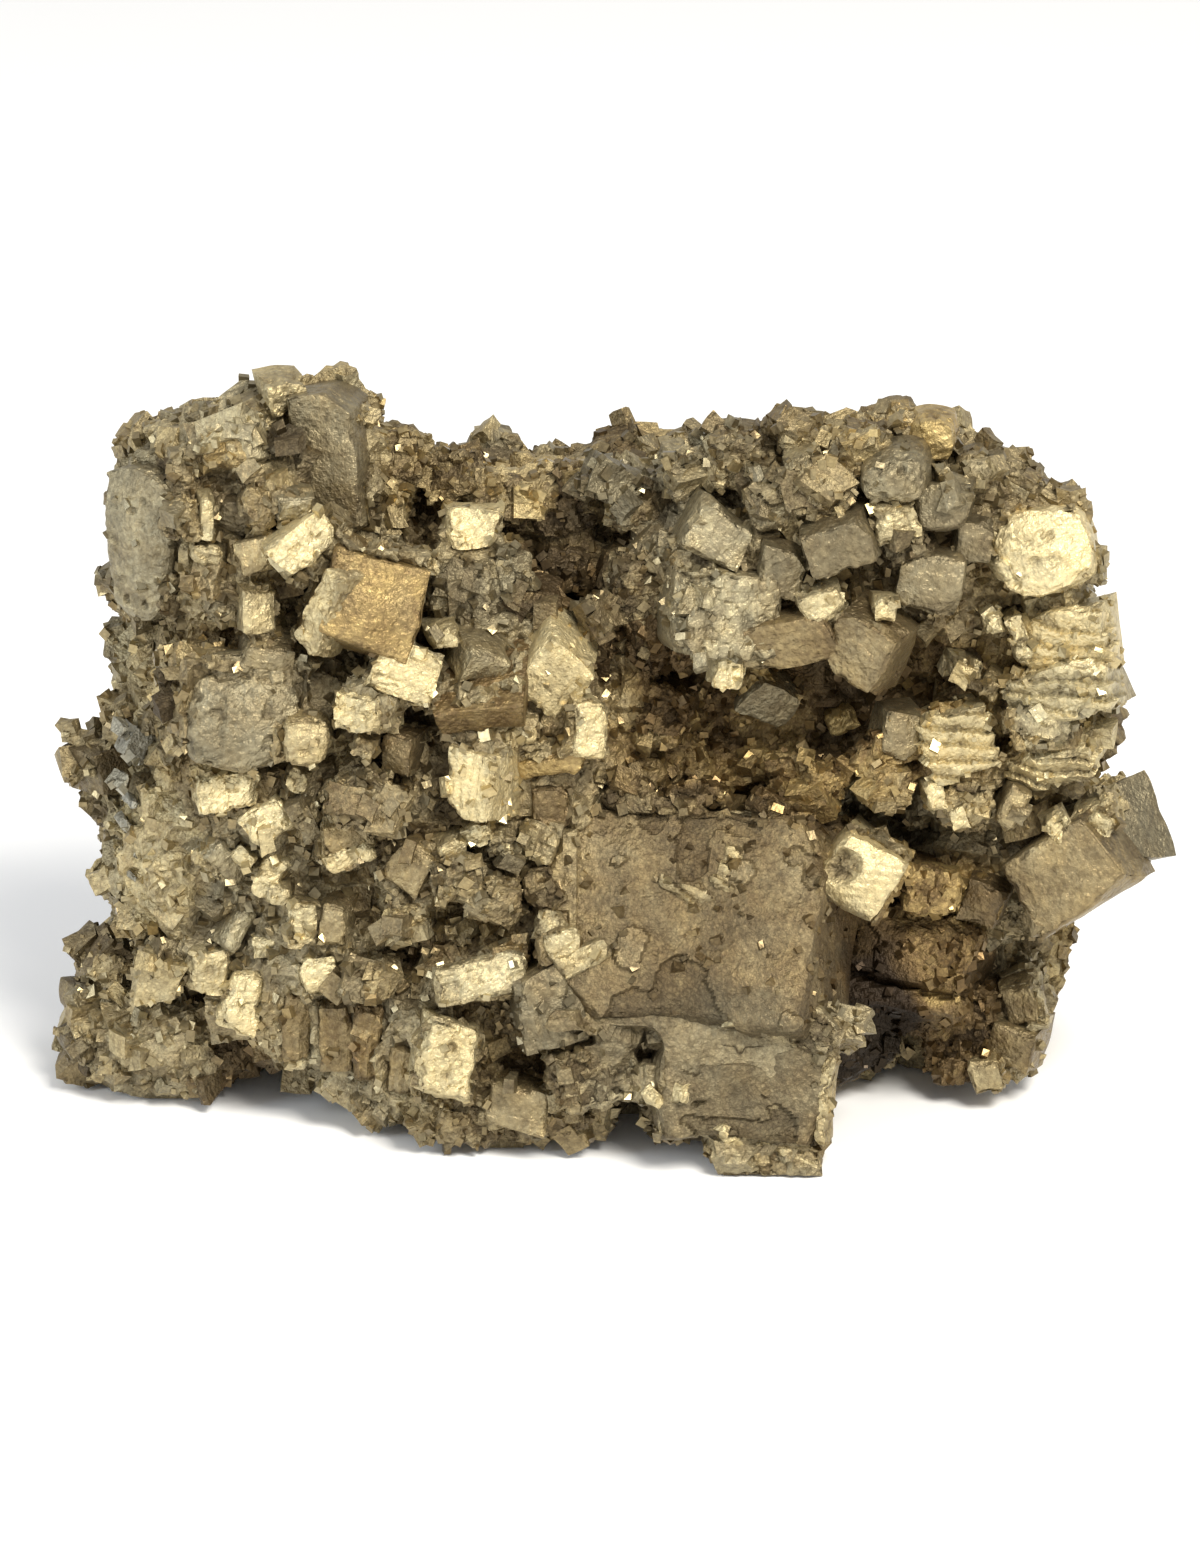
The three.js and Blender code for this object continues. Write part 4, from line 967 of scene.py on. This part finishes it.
# ---------------------------------------------------------------- small growth, by geometry nodes
def add_node(tree, kind, settings=None, inputs=None):
    """A node with its settings, and its inputs linked to other nodes' sockets or set to values."""
    node = tree.nodes.new(kind)
    for name, value in (settings or {}).items():
        setattr(node, name, value)
    for key, value in (inputs or {}).items():
        if isinstance(value, bpy.types.NodeSocket):
            tree.links.new(value, node.inputs[key])
        else:
            node.inputs[key].default_value = value
    return node


def lengthened(tree, vector, factor):
    """The vector times a factor."""
    node = add_node(tree, "ShaderNodeVectorMath", {"operation": "SCALE"}, {0: vector, "Scale": factor})
    return node.outputs[0]


def chipped_block(tree, cells, uneven, variant):
    """One unit block with `cells` cells a side, its points pushed about so that no two are alike."""
    corners = calculated(tree, "ADD", cells, 1.0)
    sides = {f"Vertices {axis}": corners for axis in "XYZ"}
    block = add_node(tree, "GeometryNodeMeshCube", None, {"Size": (1, 1, 1), **sides})
    noise = add_node(tree, "ShaderNodeTexNoise", {"noise_dimensions": "4D"},
                     {"W": 7.3 * variant, "Scale": 0.9, "Detail": 0.0})
    centred = add_node(tree, "ShaderNodeVectorMath", {"operation": "SUBTRACT"},
                       {0: noise.outputs["Color"], 1: (0.5, 0.5, 0.5)})
    push = lengthened(tree, centred.outputs[0], uneven)
    moved = add_node(tree, "GeometryNodeSetPosition", None,
                     {"Geometry": block.outputs["Mesh"], "Offset": push})
    return add_node(tree, "GeometryNodeGeometryToInstance", None, {0: moved.outputs[0]}).outputs[0]


# Where the Random Value node keeps its lowest and highest value and its result, for each kind.
RANDOM_SOCKETS = {"FLOAT_VECTOR": (0, 1, 0), "FLOAT": (2, 3, 1), "INT": (4, 5, 2)}
RANDOM_SEED_SOCKET = 8


def random_value(tree, kind, low, high, seed):
    """A random value for each point, from low to high."""
    low_socket, high_socket, result = RANDOM_SOCKETS[kind]
    node = add_node(tree, "FunctionNodeRandomValue", {"data_type": kind},
                    {low_socket: low, high_socket: high, RANDOM_SEED_SOCKET: seed})
    return node.outputs[result]


def stored_on(tree, kind, name):
    """The attribute that the surface carries under a name."""
    node = add_node(tree, "GeometryNodeInputNamedAttribute", {"data_type": kind}, {"Name": name})
    return node.outputs["Attribute"]


def calculated(tree, operation, first, second):
    node = add_node(tree, "ShaderNodeMath", {"operation": operation}, {0: first, 1: second})
    return node.outputs[0]


def small_growth_tree():
    """Grows uneven blocks over a surface, each turned nearly as the surface's crystal is."""
    tree = bpy.data.node_groups.new("small_growth", "GeometryNodeTree")
    tree.is_modifier = True
    tree.interface.new_socket("Surface", in_out="INPUT", socket_type="NodeSocketGeometry")
    for name, kind in (("Spacing", "Float"), ("Smallest", "Float"), ("Largest", "Float"),
                       ("Unevenness", "Float"), ("Straying", "Float"), ("Sinking", "Float"),
                       ("Cells", "Int"), ("Seed", "Int"), ("Cover", "String"), ("Finish", "Material")):
        tree.interface.new_socket(name, in_out="INPUT", socket_type="NodeSocket" + kind)
    tree.interface.new_socket("Growth", in_out="OUTPUT", socket_type="NodeSocketGeometry")
    given = tree.nodes.new("NodeGroupInput").outputs

    cover = stored_on(tree, "FLOAT", given["Cover"])
    densest = calculated(tree, "POWER", given["Spacing"], -2.0)
    spread = add_node(tree, "GeometryNodeDistributePointsOnFaces", {"distribute_method": "POISSON"}, {
        "Mesh": given["Surface"], "Distance Min": given["Spacing"], "Density Max": densest,
        "Density Factor": cover, "Seed": given["Seed"]})

    split = add_node(tree, "FunctionNodeSeparateColor", None, {0: stored_on(tree, "FLOAT_COLOR", "tones")})
    brighter = random_value(tree, "FLOAT", *GROWTH_BRIGHTNESS, seed=3)
    warmer = random_value(tree, "FLOAT", *GROWTH_WARMTH, seed=4)
    bright = calculated(tree, "MULTIPLY", split.outputs[0], brighter)
    bright = calculated(tree, "MINIMUM", bright, GROWTH_BRIGHTEST)
    warm = calculated(tree, "ADD", split.outputs[1], warmer)
    mixed = add_node(tree, "FunctionNodeCombineColor", None, {0: bright, 1: warm, 2: split.outputs[2]})
    inward = calculated(tree, "MULTIPLY", given["Sinking"], -1.0)
    sunk = add_node(tree, "GeometryNodeSetPosition", None,
                    {"Geometry": spread.outputs["Points"],
                     "Offset": lengthened(tree, spread.outputs["Normal"], inward)})
    toned = add_node(tree, "GeometryNodeStoreNamedAttribute", {"data_type": "FLOAT_COLOR", "domain": "POINT"},
                     {"Geometry": sunk.outputs[0], "Name": "tones", "Value": mixed.outputs[0]})

    variants = tree.nodes.new("GeometryNodeJoinGeometry")
    for variant in range(GROWTH_VARIANTS):
        tree.links.new(chipped_block(tree, given["Cells"], given["Unevenness"], variant), variants.inputs[0])

    stray = random_value(tree, "FLOAT_VECTOR", (-1, -1, -1), (1, 1, 1), seed=5)
    strayed = lengthened(tree, stray, given["Straying"])
    turned_so = add_node(tree, "ShaderNodeVectorMath", {"operation": "ADD"},
                         {0: stored_on(tree, "FLOAT_VECTOR", "turn"), 1: strayed})
    rotation = add_node(tree, "FunctionNodeEulerToRotation", None, {0: turned_so.outputs[0]})
    size = random_value(tree, "FLOAT", given["Smallest"], given["Largest"], seed=6)
    thinnest, thickest = GROWTH_SHAPE
    shape = random_value(tree, "FLOAT_VECTOR", (thinnest,) * 3, (thickest,) * 3, seed=7)
    pick = random_value(tree, "INT", 0, GROWTH_VARIANTS - 1, seed=8)
    grown = add_node(tree, "GeometryNodeInstanceOnPoints", None, {
        "Points": toned.outputs[0], "Instance": variants.outputs[0], "Pick Instance": True,
        "Instance Index": pick, "Rotation": rotation.outputs[0],
        "Scale": lengthened(tree, shape, size)})
    real = add_node(tree, "GeometryNodeRealizeInstances", None, {"Geometry": grown.outputs[0]})
    finished = add_node(tree, "GeometryNodeSetMaterial", None,
                        {"Geometry": real.outputs[0], "Material": given["Finish"]})
    tree.links.new(finished.outputs[0], tree.nodes.new("NodeGroupOutput").inputs[0])
    return tree


def small_growth(name, host, tree, values):
    """A plain mesh of what the tree grows over the host's surface, with nothing below the floor."""
    modifier = host.modifiers.new("growth", "NODES")
    modifier.node_group = tree
    for item in tree.interface.items_tree:
        if item.in_out == "INPUT" and item.name in values:
            value = values[item.name]
            modifier[item.identifier] = value * MM if item.name in GROWTH_SIZES else value
    graph = bpy.context.evaluated_depsgraph_get()
    mesh = bpy.data.meshes.new_from_object(host.evaluated_get(graph))
    host.modifiers.remove(modifier)
    places = np.zeros(len(mesh.vertices) * 3)
    mesh.vertices.foreach_get("co", places)
    places[2::3] = np.maximum(places[2::3], 0)
    mesh.vertices.foreach_set("co", places)
    mesh.name = name
    piece = bpy.data.objects.new(name, mesh)
    bpy.context.scene.collection.objects.link(piece)
    return piece


def surface_of(mesh, grows):
    """A plain mesh of quads read back as a surface that bears small growth evenly all over."""
    count = len(mesh.vertices)
    points = np.zeros(count * 3)
    mesh.vertices.foreach_get("co", points)
    corners = np.zeros(len(mesh.loops), dtype=int)
    mesh.loops.foreach_get("vertex_index", corners)
    tones = np.zeros(count * 4)
    mesh.attributes["tones"].data.foreach_get("color", tones)
    turn = np.zeros(count * 3)
    mesh.attributes["turn"].data.foreach_get("vector", turn)
    return {"points": points.reshape(-1, 3) / MM, "faces": corners.reshape(-1, 4),
            "tones": tones.reshape(-1, 4)[:, :3], "turn": turn.reshape(-1, 3),
            "cover": np.full(count, grows), "druse": np.full(count, grows)}


def drop_growth_marks(mesh):
    """Removes what only the growth needed."""
    for extra in ("turn", "cover", "druse"):
        if extra in mesh.attributes:
            mesh.attributes.remove(mesh.attributes[extra])


# ---------------------------------------------------------------- finishes
def shader_group(name, inputs, outputs):
    """An empty shader group with float inputs and its outputs, and its two end nodes."""
    tree = bpy.data.node_groups.new(name, "ShaderNodeTree")
    for label, value in inputs.items():
        item = tree.interface.new_socket(label, in_out="INPUT", socket_type="NodeSocketFloat")
        item.default_value = value
    for label, kind in outputs.items():
        tree.interface.new_socket(label, in_out="OUTPUT", socket_type="NodeSocket" + kind)
    return tree, tree.nodes.new("NodeGroupInput").outputs, tree.nodes.new("NodeGroupOutput").inputs


def object_noise(tree, feature, detail=3.0, kind="ShaderNodeTexNoise", settings=None):
    """A noise or cell texture on object coordinates whose features are `feature` millimetres across."""
    where = add_node(tree, "ShaderNodeTexCoord")
    texture = add_node(tree, kind, settings, {"Vector": where.outputs["Object"], "Scale": 1 / (feature * MM)})
    if "Detail" in texture.inputs:
        texture.inputs["Detail"].default_value = detail
    return texture


def mapped(tree, value, low, high):
    """A value from 0 to 1 taken to the range from low to high."""
    node = add_node(tree, "ShaderNodeMapRange", None, {"Value": value, "To Min": low, "To Max": high})
    return node.outputs["Result"]


def colour_mix(tree, share, first, second):
    """The first colour where the share is 0, and the second where it is 1."""
    node = add_node(tree, "ShaderNodeMix", {"data_type": "RGBA", "clamp_factor": True},
                    {"Factor": share, "A": first, "B": second})
    return node.outputs["Result"]


def colour_ramp(tree, value, stops):
    """The colour that the stops give a value from 0 to 1."""
    node = add_node(tree, "ShaderNodeValToRGB", None, {"Fac": value})
    ramp = node.color_ramp
    while len(ramp.elements) < len(stops):
        ramp.elements.new(1.0)
    for element, (place, colour) in zip(ramp.elements, stops):
        element.position = place
        element.color = (*colour, 1)
    return node.outputs["Color"]


# Brightness to colour: the olive crystals, the red-brown to golden ones, and the few cool glints, which are
# painted reflections.
OLIVE_STOPS = [
    (0.0, (0.016, 0.013, 0.008)), (0.18, (0.118, 0.098, 0.057)), (0.4, (0.29, 0.25, 0.155)),
    (0.65, (0.49, 0.43, 0.265)), (1.0, (0.69, 0.59, 0.35))]
GOLDEN_STOPS = [
    (0.0, (0.02, 0.011, 0.004)), (0.18, (0.15, 0.095, 0.037)), (0.4, (0.38, 0.27, 0.105)),
    (0.65, (0.57, 0.42, 0.17)), (1.0, (0.73, 0.55, 0.23))]
COOL_REFLECTION_STOPS = [(0.0, (0.01, 0.012, 0.015)), (0.4, (0.25, 0.27, 0.27)), (1.0, (0.68, 0.73, 0.76))]
# The dark seams between the finest grains.
SEAM_COLOUR = (0.03, 0.018, 0.008, 1)
BUMP_STRENGTH = 0.8


def tarnish_group():
    """Colour of tarnished pyrite from its brightness and warmth, in patches, with specks and dark seams. The
    brightness also carries painted highlights and shade, and warmth below 0 gives the cool grey of painted
    reflections.
    """
    inputs = {"Brightness": 0.4, "Warmth": 0.4, "Grit": 0.4, "Patchiness": 0.3, "Speckling": 0.4}
    tree, given, out = shader_group("tarnish_and_painted_light", inputs, {"Colour": "Color"})
    patches = object_noise(tree, feature=5.0, detail=4.0).outputs["Fac"]
    fine = object_noise(tree, feature=0.7, detail=3.0).outputs["Fac"]
    sway = calculated(tree, "MULTIPLY", mapped(tree, patches, -1.0, 1.0), given["Patchiness"])
    speck = mapped(tree, fine, -1.3, 1.3)
    speck = calculated(tree, "MULTIPLY", speck, given["Speckling"])
    total = calculated(tree, "ADD", calculated(tree, "ADD", sway, speck), 1.0)
    brightness = calculated(tree, "MULTIPLY", given["Brightness"], total)
    olive = colour_ramp(tree, brightness, OLIVE_STOPS)
    golden = colour_ramp(tree, brightness, GOLDEN_STOPS)
    other = object_noise(tree, feature=3.2, detail=2.0).outputs["Fac"]
    warmth = calculated(tree, "ADD", given["Warmth"], mapped(tree, other, -0.35, 0.35))
    clean = colour_mix(tree, warmth, olive, golden)
    # Painted reflection: where warmth is below 0 the colour turns to cool steel grey.
    cool_reflection_share = add_node(tree, "ShaderNodeMapRange", None,
                     {"Value": given["Warmth"], "From Min": 0.0, "From Max": -1.0})
    cool_reflection = colour_ramp(tree, brightness, COOL_REFLECTION_STOPS)
    clean = colour_mix(tree, cool_reflection_share.outputs["Result"], clean, cool_reflection)
    cells = object_noise(tree, feature=0.55, kind="ShaderNodeTexVoronoi",
                         settings={"feature": "DISTANCE_TO_EDGE"})
    seam = add_node(tree, "ShaderNodeMapRange", None,
                    {"Value": cells.outputs["Distance"], "From Max": 0.12, "To Min": 0.62, "To Max": 0.0})
    shade = calculated(tree, "MULTIPLY", seam.outputs["Result"], given["Grit"])
    tree.links.new(colour_mix(tree, shade, clean, SEAM_COLOUR), out["Colour"])
    return tree


def grain_group():
    """Height of the fine grain: broken cells, pits and a sandy surface, for a bump node."""
    inputs = {"Grit": 0.4, "Cell Depth": 0.5}
    tree, given, out = shader_group("grain", inputs, {"Height": "Float"})
    cells = object_noise(tree, feature=0.8, kind="ShaderNodeTexVoronoi",
                         settings={"distance": "CHEBYCHEV"})
    sandy = object_noise(tree, feature=0.3, detail=3.0).outputs["Fac"]
    broad = object_noise(tree, feature=1.6, detail=5.0).outputs["Fac"]
    step = calculated(tree, "MULTIPLY", cells.outputs["Distance"], given["Cell Depth"])
    sand = calculated(tree, "MULTIPLY", sandy, given["Grit"])
    total = calculated(tree, "ADD", calculated(tree, "ADD", step, sand), broad)
    tree.links.new(total, out["Height"])
    return tree


def lustre_group():
    """Roughness: dull and sandy where gritty, with clean glints."""
    inputs = {"Grit": 0.4, "Polished": 0.3, "Dull": 0.6}
    tree, given, out = shader_group("lustre", inputs, {"Roughness": "Float"})
    fine = object_noise(tree, feature=0.9, detail=4.0).outputs["Fac"]
    mixed = calculated(tree, "ADD", mapped(tree, fine, -0.3, 0.5), given["Grit"])
    rough = add_node(tree, "ShaderNodeMapRange", None,
                     {"Value": mixed, "To Min": given["Polished"], "To Max": given["Dull"]})
    tree.links.new(rough.outputs["Result"], out["Roughness"])
    return tree


def pyrite_finish(name, groups, look):
    """A metallic pyrite whose colour, lustre and grain follow each point's tones."""
    tarnish_and_painted_light, grain, lustre = groups
    material = bpy.data.materials.new(name)
    material.use_nodes = True
    tree = material.node_tree
    shader = tree.nodes["Principled BSDF"]
    shader.inputs["Metallic"].default_value = look["metallic"]
    tones = add_node(tree, "ShaderNodeAttribute", {"attribute_name": "tones"})
    split = add_node(tree, "ShaderNodeSeparateColor", None, {"Color": tones.outputs["Color"]})
    bright, warm, grit = split.outputs
    colour = add_node(tree, "ShaderNodeGroup", {"node_tree": tarnish_and_painted_light}, {
        "Brightness": bright, "Warmth": warm, "Grit": grit,
        "Patchiness": look["patchiness"], "Speckling": look["speckling"]})
    shine = add_node(tree, "ShaderNodeGroup", {"node_tree": lustre},
                     {"Grit": grit, "Polished": look["polished"], "Dull": look["dull"]})
    rise = add_node(tree, "ShaderNodeGroup", {"node_tree": grain},
                    {"Grit": grit, "Cell Depth": look["cell depth"]})
    bump = add_node(tree, "ShaderNodeBump", None, {
        "Height": rise.outputs["Height"], "Distance": look["bump"] * MM, "Strength": BUMP_STRENGTH})
    tree.links.new(colour.outputs["Colour"], shader.inputs["Base Color"])
    tree.links.new(shine.outputs["Roughness"], shader.inputs["Roughness"])
    tree.links.new(bump.outputs["Normal"], shader.inputs["Normal"])
    return material


LOOKS = {
    "brassy_crystal": {"metallic": 0.66, "patchiness": 0.5, "speckling": 0.5, "polished": 0.34,
                       "dull": 0.6, "cell depth": 0.8, "bump": 0.3},
    "granular_pyrite": {"metallic": 0.6, "patchiness": 0.5, "speckling": 0.6, "polished": 0.35,
                        "dull": 0.65, "cell depth": 1.0, "bump": 0.3},
    "sparkling_druse": {"metallic": 0.75, "patchiness": 0.4, "speckling": 0.3, "polished": 0.24,
                        "dull": 0.4, "cell depth": 0.2, "bump": 0.06},
}


def finishes():
    groups = tarnish_group(), grain_group(), lustre_group()
    return {name: pyrite_finish(name, groups, look) for name, look in LOOKS.items()}


# ---------------------------------------------------------------- stage
def pale_stage():
    """A plain pale floor, far wider than the specimen."""
    height = cad_box[0][2] - 0.2 * MM
    reach = 3.0
    mesh = bpy.data.meshes.new("pale_floor")
    outline = [(-reach, -reach), (reach, -reach), (reach, reach), (-reach, reach)]
    mesh.from_pydata([(x, y, height) for x, y in outline], [], [(0, 1, 2, 3)])
    floor = bpy.data.objects.new("pale_floor", mesh)
    bpy.context.scene.collection.objects.link(floor)
    material = bpy.data.materials.new("pale_floor")
    material.use_nodes = True
    shader = material.node_tree.nodes["Principled BSDF"]
    shader.inputs["Base Color"].default_value = (0.92, 0.92, 0.92, 1)
    shader.inputs["Roughness"].default_value = 0.9
    mesh.materials.append(material)


# name, place in metres, size in metres, power in watts, colour
LAMPS = [
    ("main_lamp", (0.32, -0.55, 0.75), (0.35, 0.35), 12, (1, 0.96, 0.88)),
    ("left_lamp", (-0.8, -0.35, 0.3), (0.3, 0.5), 4, (0.86, 0.93, 1)),
]
LAMP_AIM = (0, 0, 0.04)
ROOM_LIGHT = 0.7


def soft_lamp(name, place, size, power, colour):
    """A wide lamp that looks at the middle of the specimen."""
    data = bpy.data.lights.new(name, "AREA")
    data.shape = "RECTANGLE"
    data.size, data.size_y = size
    data.energy = power
    data.color = colour
    lamp = bpy.data.objects.new(name, data)
    lamp.location = place
    lamp.rotation_euler = (Vector(LAMP_AIM) - Vector(place)).to_track_quat("-Z", "Y").to_euler()
    bpy.context.scene.collection.objects.link(lamp)


def studio():
    """A pale room, a warm main lamp from the upper right, and a faint cool one from the left."""
    world = bpy.data.worlds.new("studio")
    world.use_nodes = True
    background = world.node_tree.nodes["Background"]
    background.inputs["Color"].default_value = (1, 1, 1, 1)
    background.inputs["Strength"].default_value = ROOM_LIGHT
    bpy.context.scene.world = world
    bpy.context.scene.view_settings.view_transform = "Standard"
    for lamp in LAMPS:
        soft_lamp(*lamp)


def show_camera():
    """Looks down by the show plane's lean, with the cluster in the middle of a tall frame."""
    lens = 150.0
    sensor = 36.0
    tall_view = 170.6 * MM
    view_middle = 33.8 * MM
    front_gap = 26.0 * MM
    distance = tall_view * lens / sensor + front_gap
    up = Vector((0, math.sin(SHOW_LEAN), math.cos(SHOW_LEAN)))
    towards = Vector((0, -math.cos(SHOW_LEAN), math.sin(SHOW_LEAN)))
    data = bpy.data.cameras.new("show_camera")
    data.lens = lens
    data.sensor_width = sensor
    camera = bpy.data.objects.new("show_camera", data)
    camera.location = up * view_middle + towards * distance
    camera.rotation_euler = (-towards).to_track_quat("-Z", "Y").to_euler()
    bpy.context.scene.collection.objects.link(camera)
    bpy.context.scene.camera = camera


# ---------------------------------------------------------------- assembly
# name: the growth tree's inputs, with the sizes in millimetres
GROWTHS = {
    "knit_blocks": {"Spacing": 3.4, "Smallest": 3.0, "Largest": 4.8, "Sinking": 1.8, "Cells": 2,
                    "Unevenness": 0.75, "Straying": 0.35, "Seed": 10, "Cover": "cover"},
    "small_blocks": {"Spacing": 1.9, "Smallest": 1.2, "Largest": 2.6, "Sinking": 0.7, "Cells": 2,
                     "Unevenness": 0.75, "Straying": 0.5, "Seed": 11, "Cover": "cover"},
    "fine_druse": {"Spacing": 0.85, "Smallest": 0.5, "Largest": 1.15, "Sinking": 0.1, "Cells": 1,
                   "Unevenness": 0.5, "Straying": 1.2, "Seed": 12, "Cover": "druse"},
    "back_blocks": {"Spacing": 2.7, "Smallest": 1.4, "Largest": 3.2, "Sinking": 0.7, "Cells": 2,
                    "Unevenness": 0.6, "Straying": 0.4, "Seed": 13, "Cover": "cover"},
    "back_druse": {"Spacing": 1.3, "Smallest": 0.6, "Largest": 1.4, "Sinking": 0.1, "Cells": 1,
                   "Unevenness": 0.5, "Straying": 1.2, "Seed": 14, "Cover": "druse"},
}
GROWTH_SIZES = ("Spacing", "Smallest", "Largest", "Sinking")


def half_of(surface, front):
    """The faces on a surface's front half, where crystals show, or its back half, off the box's sides."""
    middles = surface["points"][surface["faces"]].mean(axis=1)
    low, high = (np.array(corner) / MM for corner in cad_box)
    low[2] -= BOX_MARGIN
    within = ((middles > low + BOX_MARGIN) & (middles < high - BOX_MARGIN)).all(axis=1)
    chosen = ((middles[:, 1] < FRONT_HALF) == front) & within
    used, renumbered = np.unique(surface["faces"][chosen], return_inverse=True)
    half = {key: value[used] for key, value in surface.items() if key != "faces"}
    half["faces"] = renumbered.reshape(-1, 4)
    return half


def bare_surfaces():
    """The surface of the body and of each group of crystals, before anything small grows on them."""
    body = massive_body([row for group in FACES.values() for row in group])
    surfaces = {"granular_body": body}
    seed = SHOW_SEED
    for name, group in FACES.items():
        surfaces[name] = joined([crystal(row, seed + i) for i, row in enumerate(group)])
        seed += len(group)
    back = [crystal(row, BACK_SEED + i, BACK_GRAIN) for i, row in enumerate(back_rows(body))]
    surfaces["back_crystals"] = joined(back)
    return surfaces


def grown_pieces(whole, finish):
    """A piece of each small growth, the later ones growing on the knit blocks too."""
    tree = small_growth_tree()
    pieces = []
    for name, values in GROWTHS.items():
        host = mesh_piece("growth_host", half_of(whole, not name.startswith("back")), growing=True)
        look = "sparkling_druse" if name.endswith("druse") else "brassy_crystal"
        grown = small_growth(name, host, tree, {**values, "Finish": finish[look]})
        host_mesh = host.data
        bpy.data.objects.remove(host)
        bpy.data.meshes.remove(host_mesh)
        if name == "knit_blocks":
            whole = joined([whole, surface_of(grown.data, KNIT_GROWTH)])
        drop_growth_marks(grown.data)
        pieces.append(grown)
    return pieces


def build():
    """Every piece, with its finish, riding on the one body. The granular body comes first."""
    finish = finishes()
    surfaces = bare_surfaces()
    pieces = []
    for name, surface in surfaces.items():
        piece = mesh_piece(name, surface)
        look = "granular_pyrite" if name == "granular_body" else "brassy_crystal"
        piece.data.materials.append(finish[look])
        pieces.append(piece)
    pieces += grown_pieces(joined(list(surfaces.values())), finish)

    for piece in pieces:
        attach(piece, BODY)
    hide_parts(NODE)


pale_stage()
studio()
show_camera()
build()
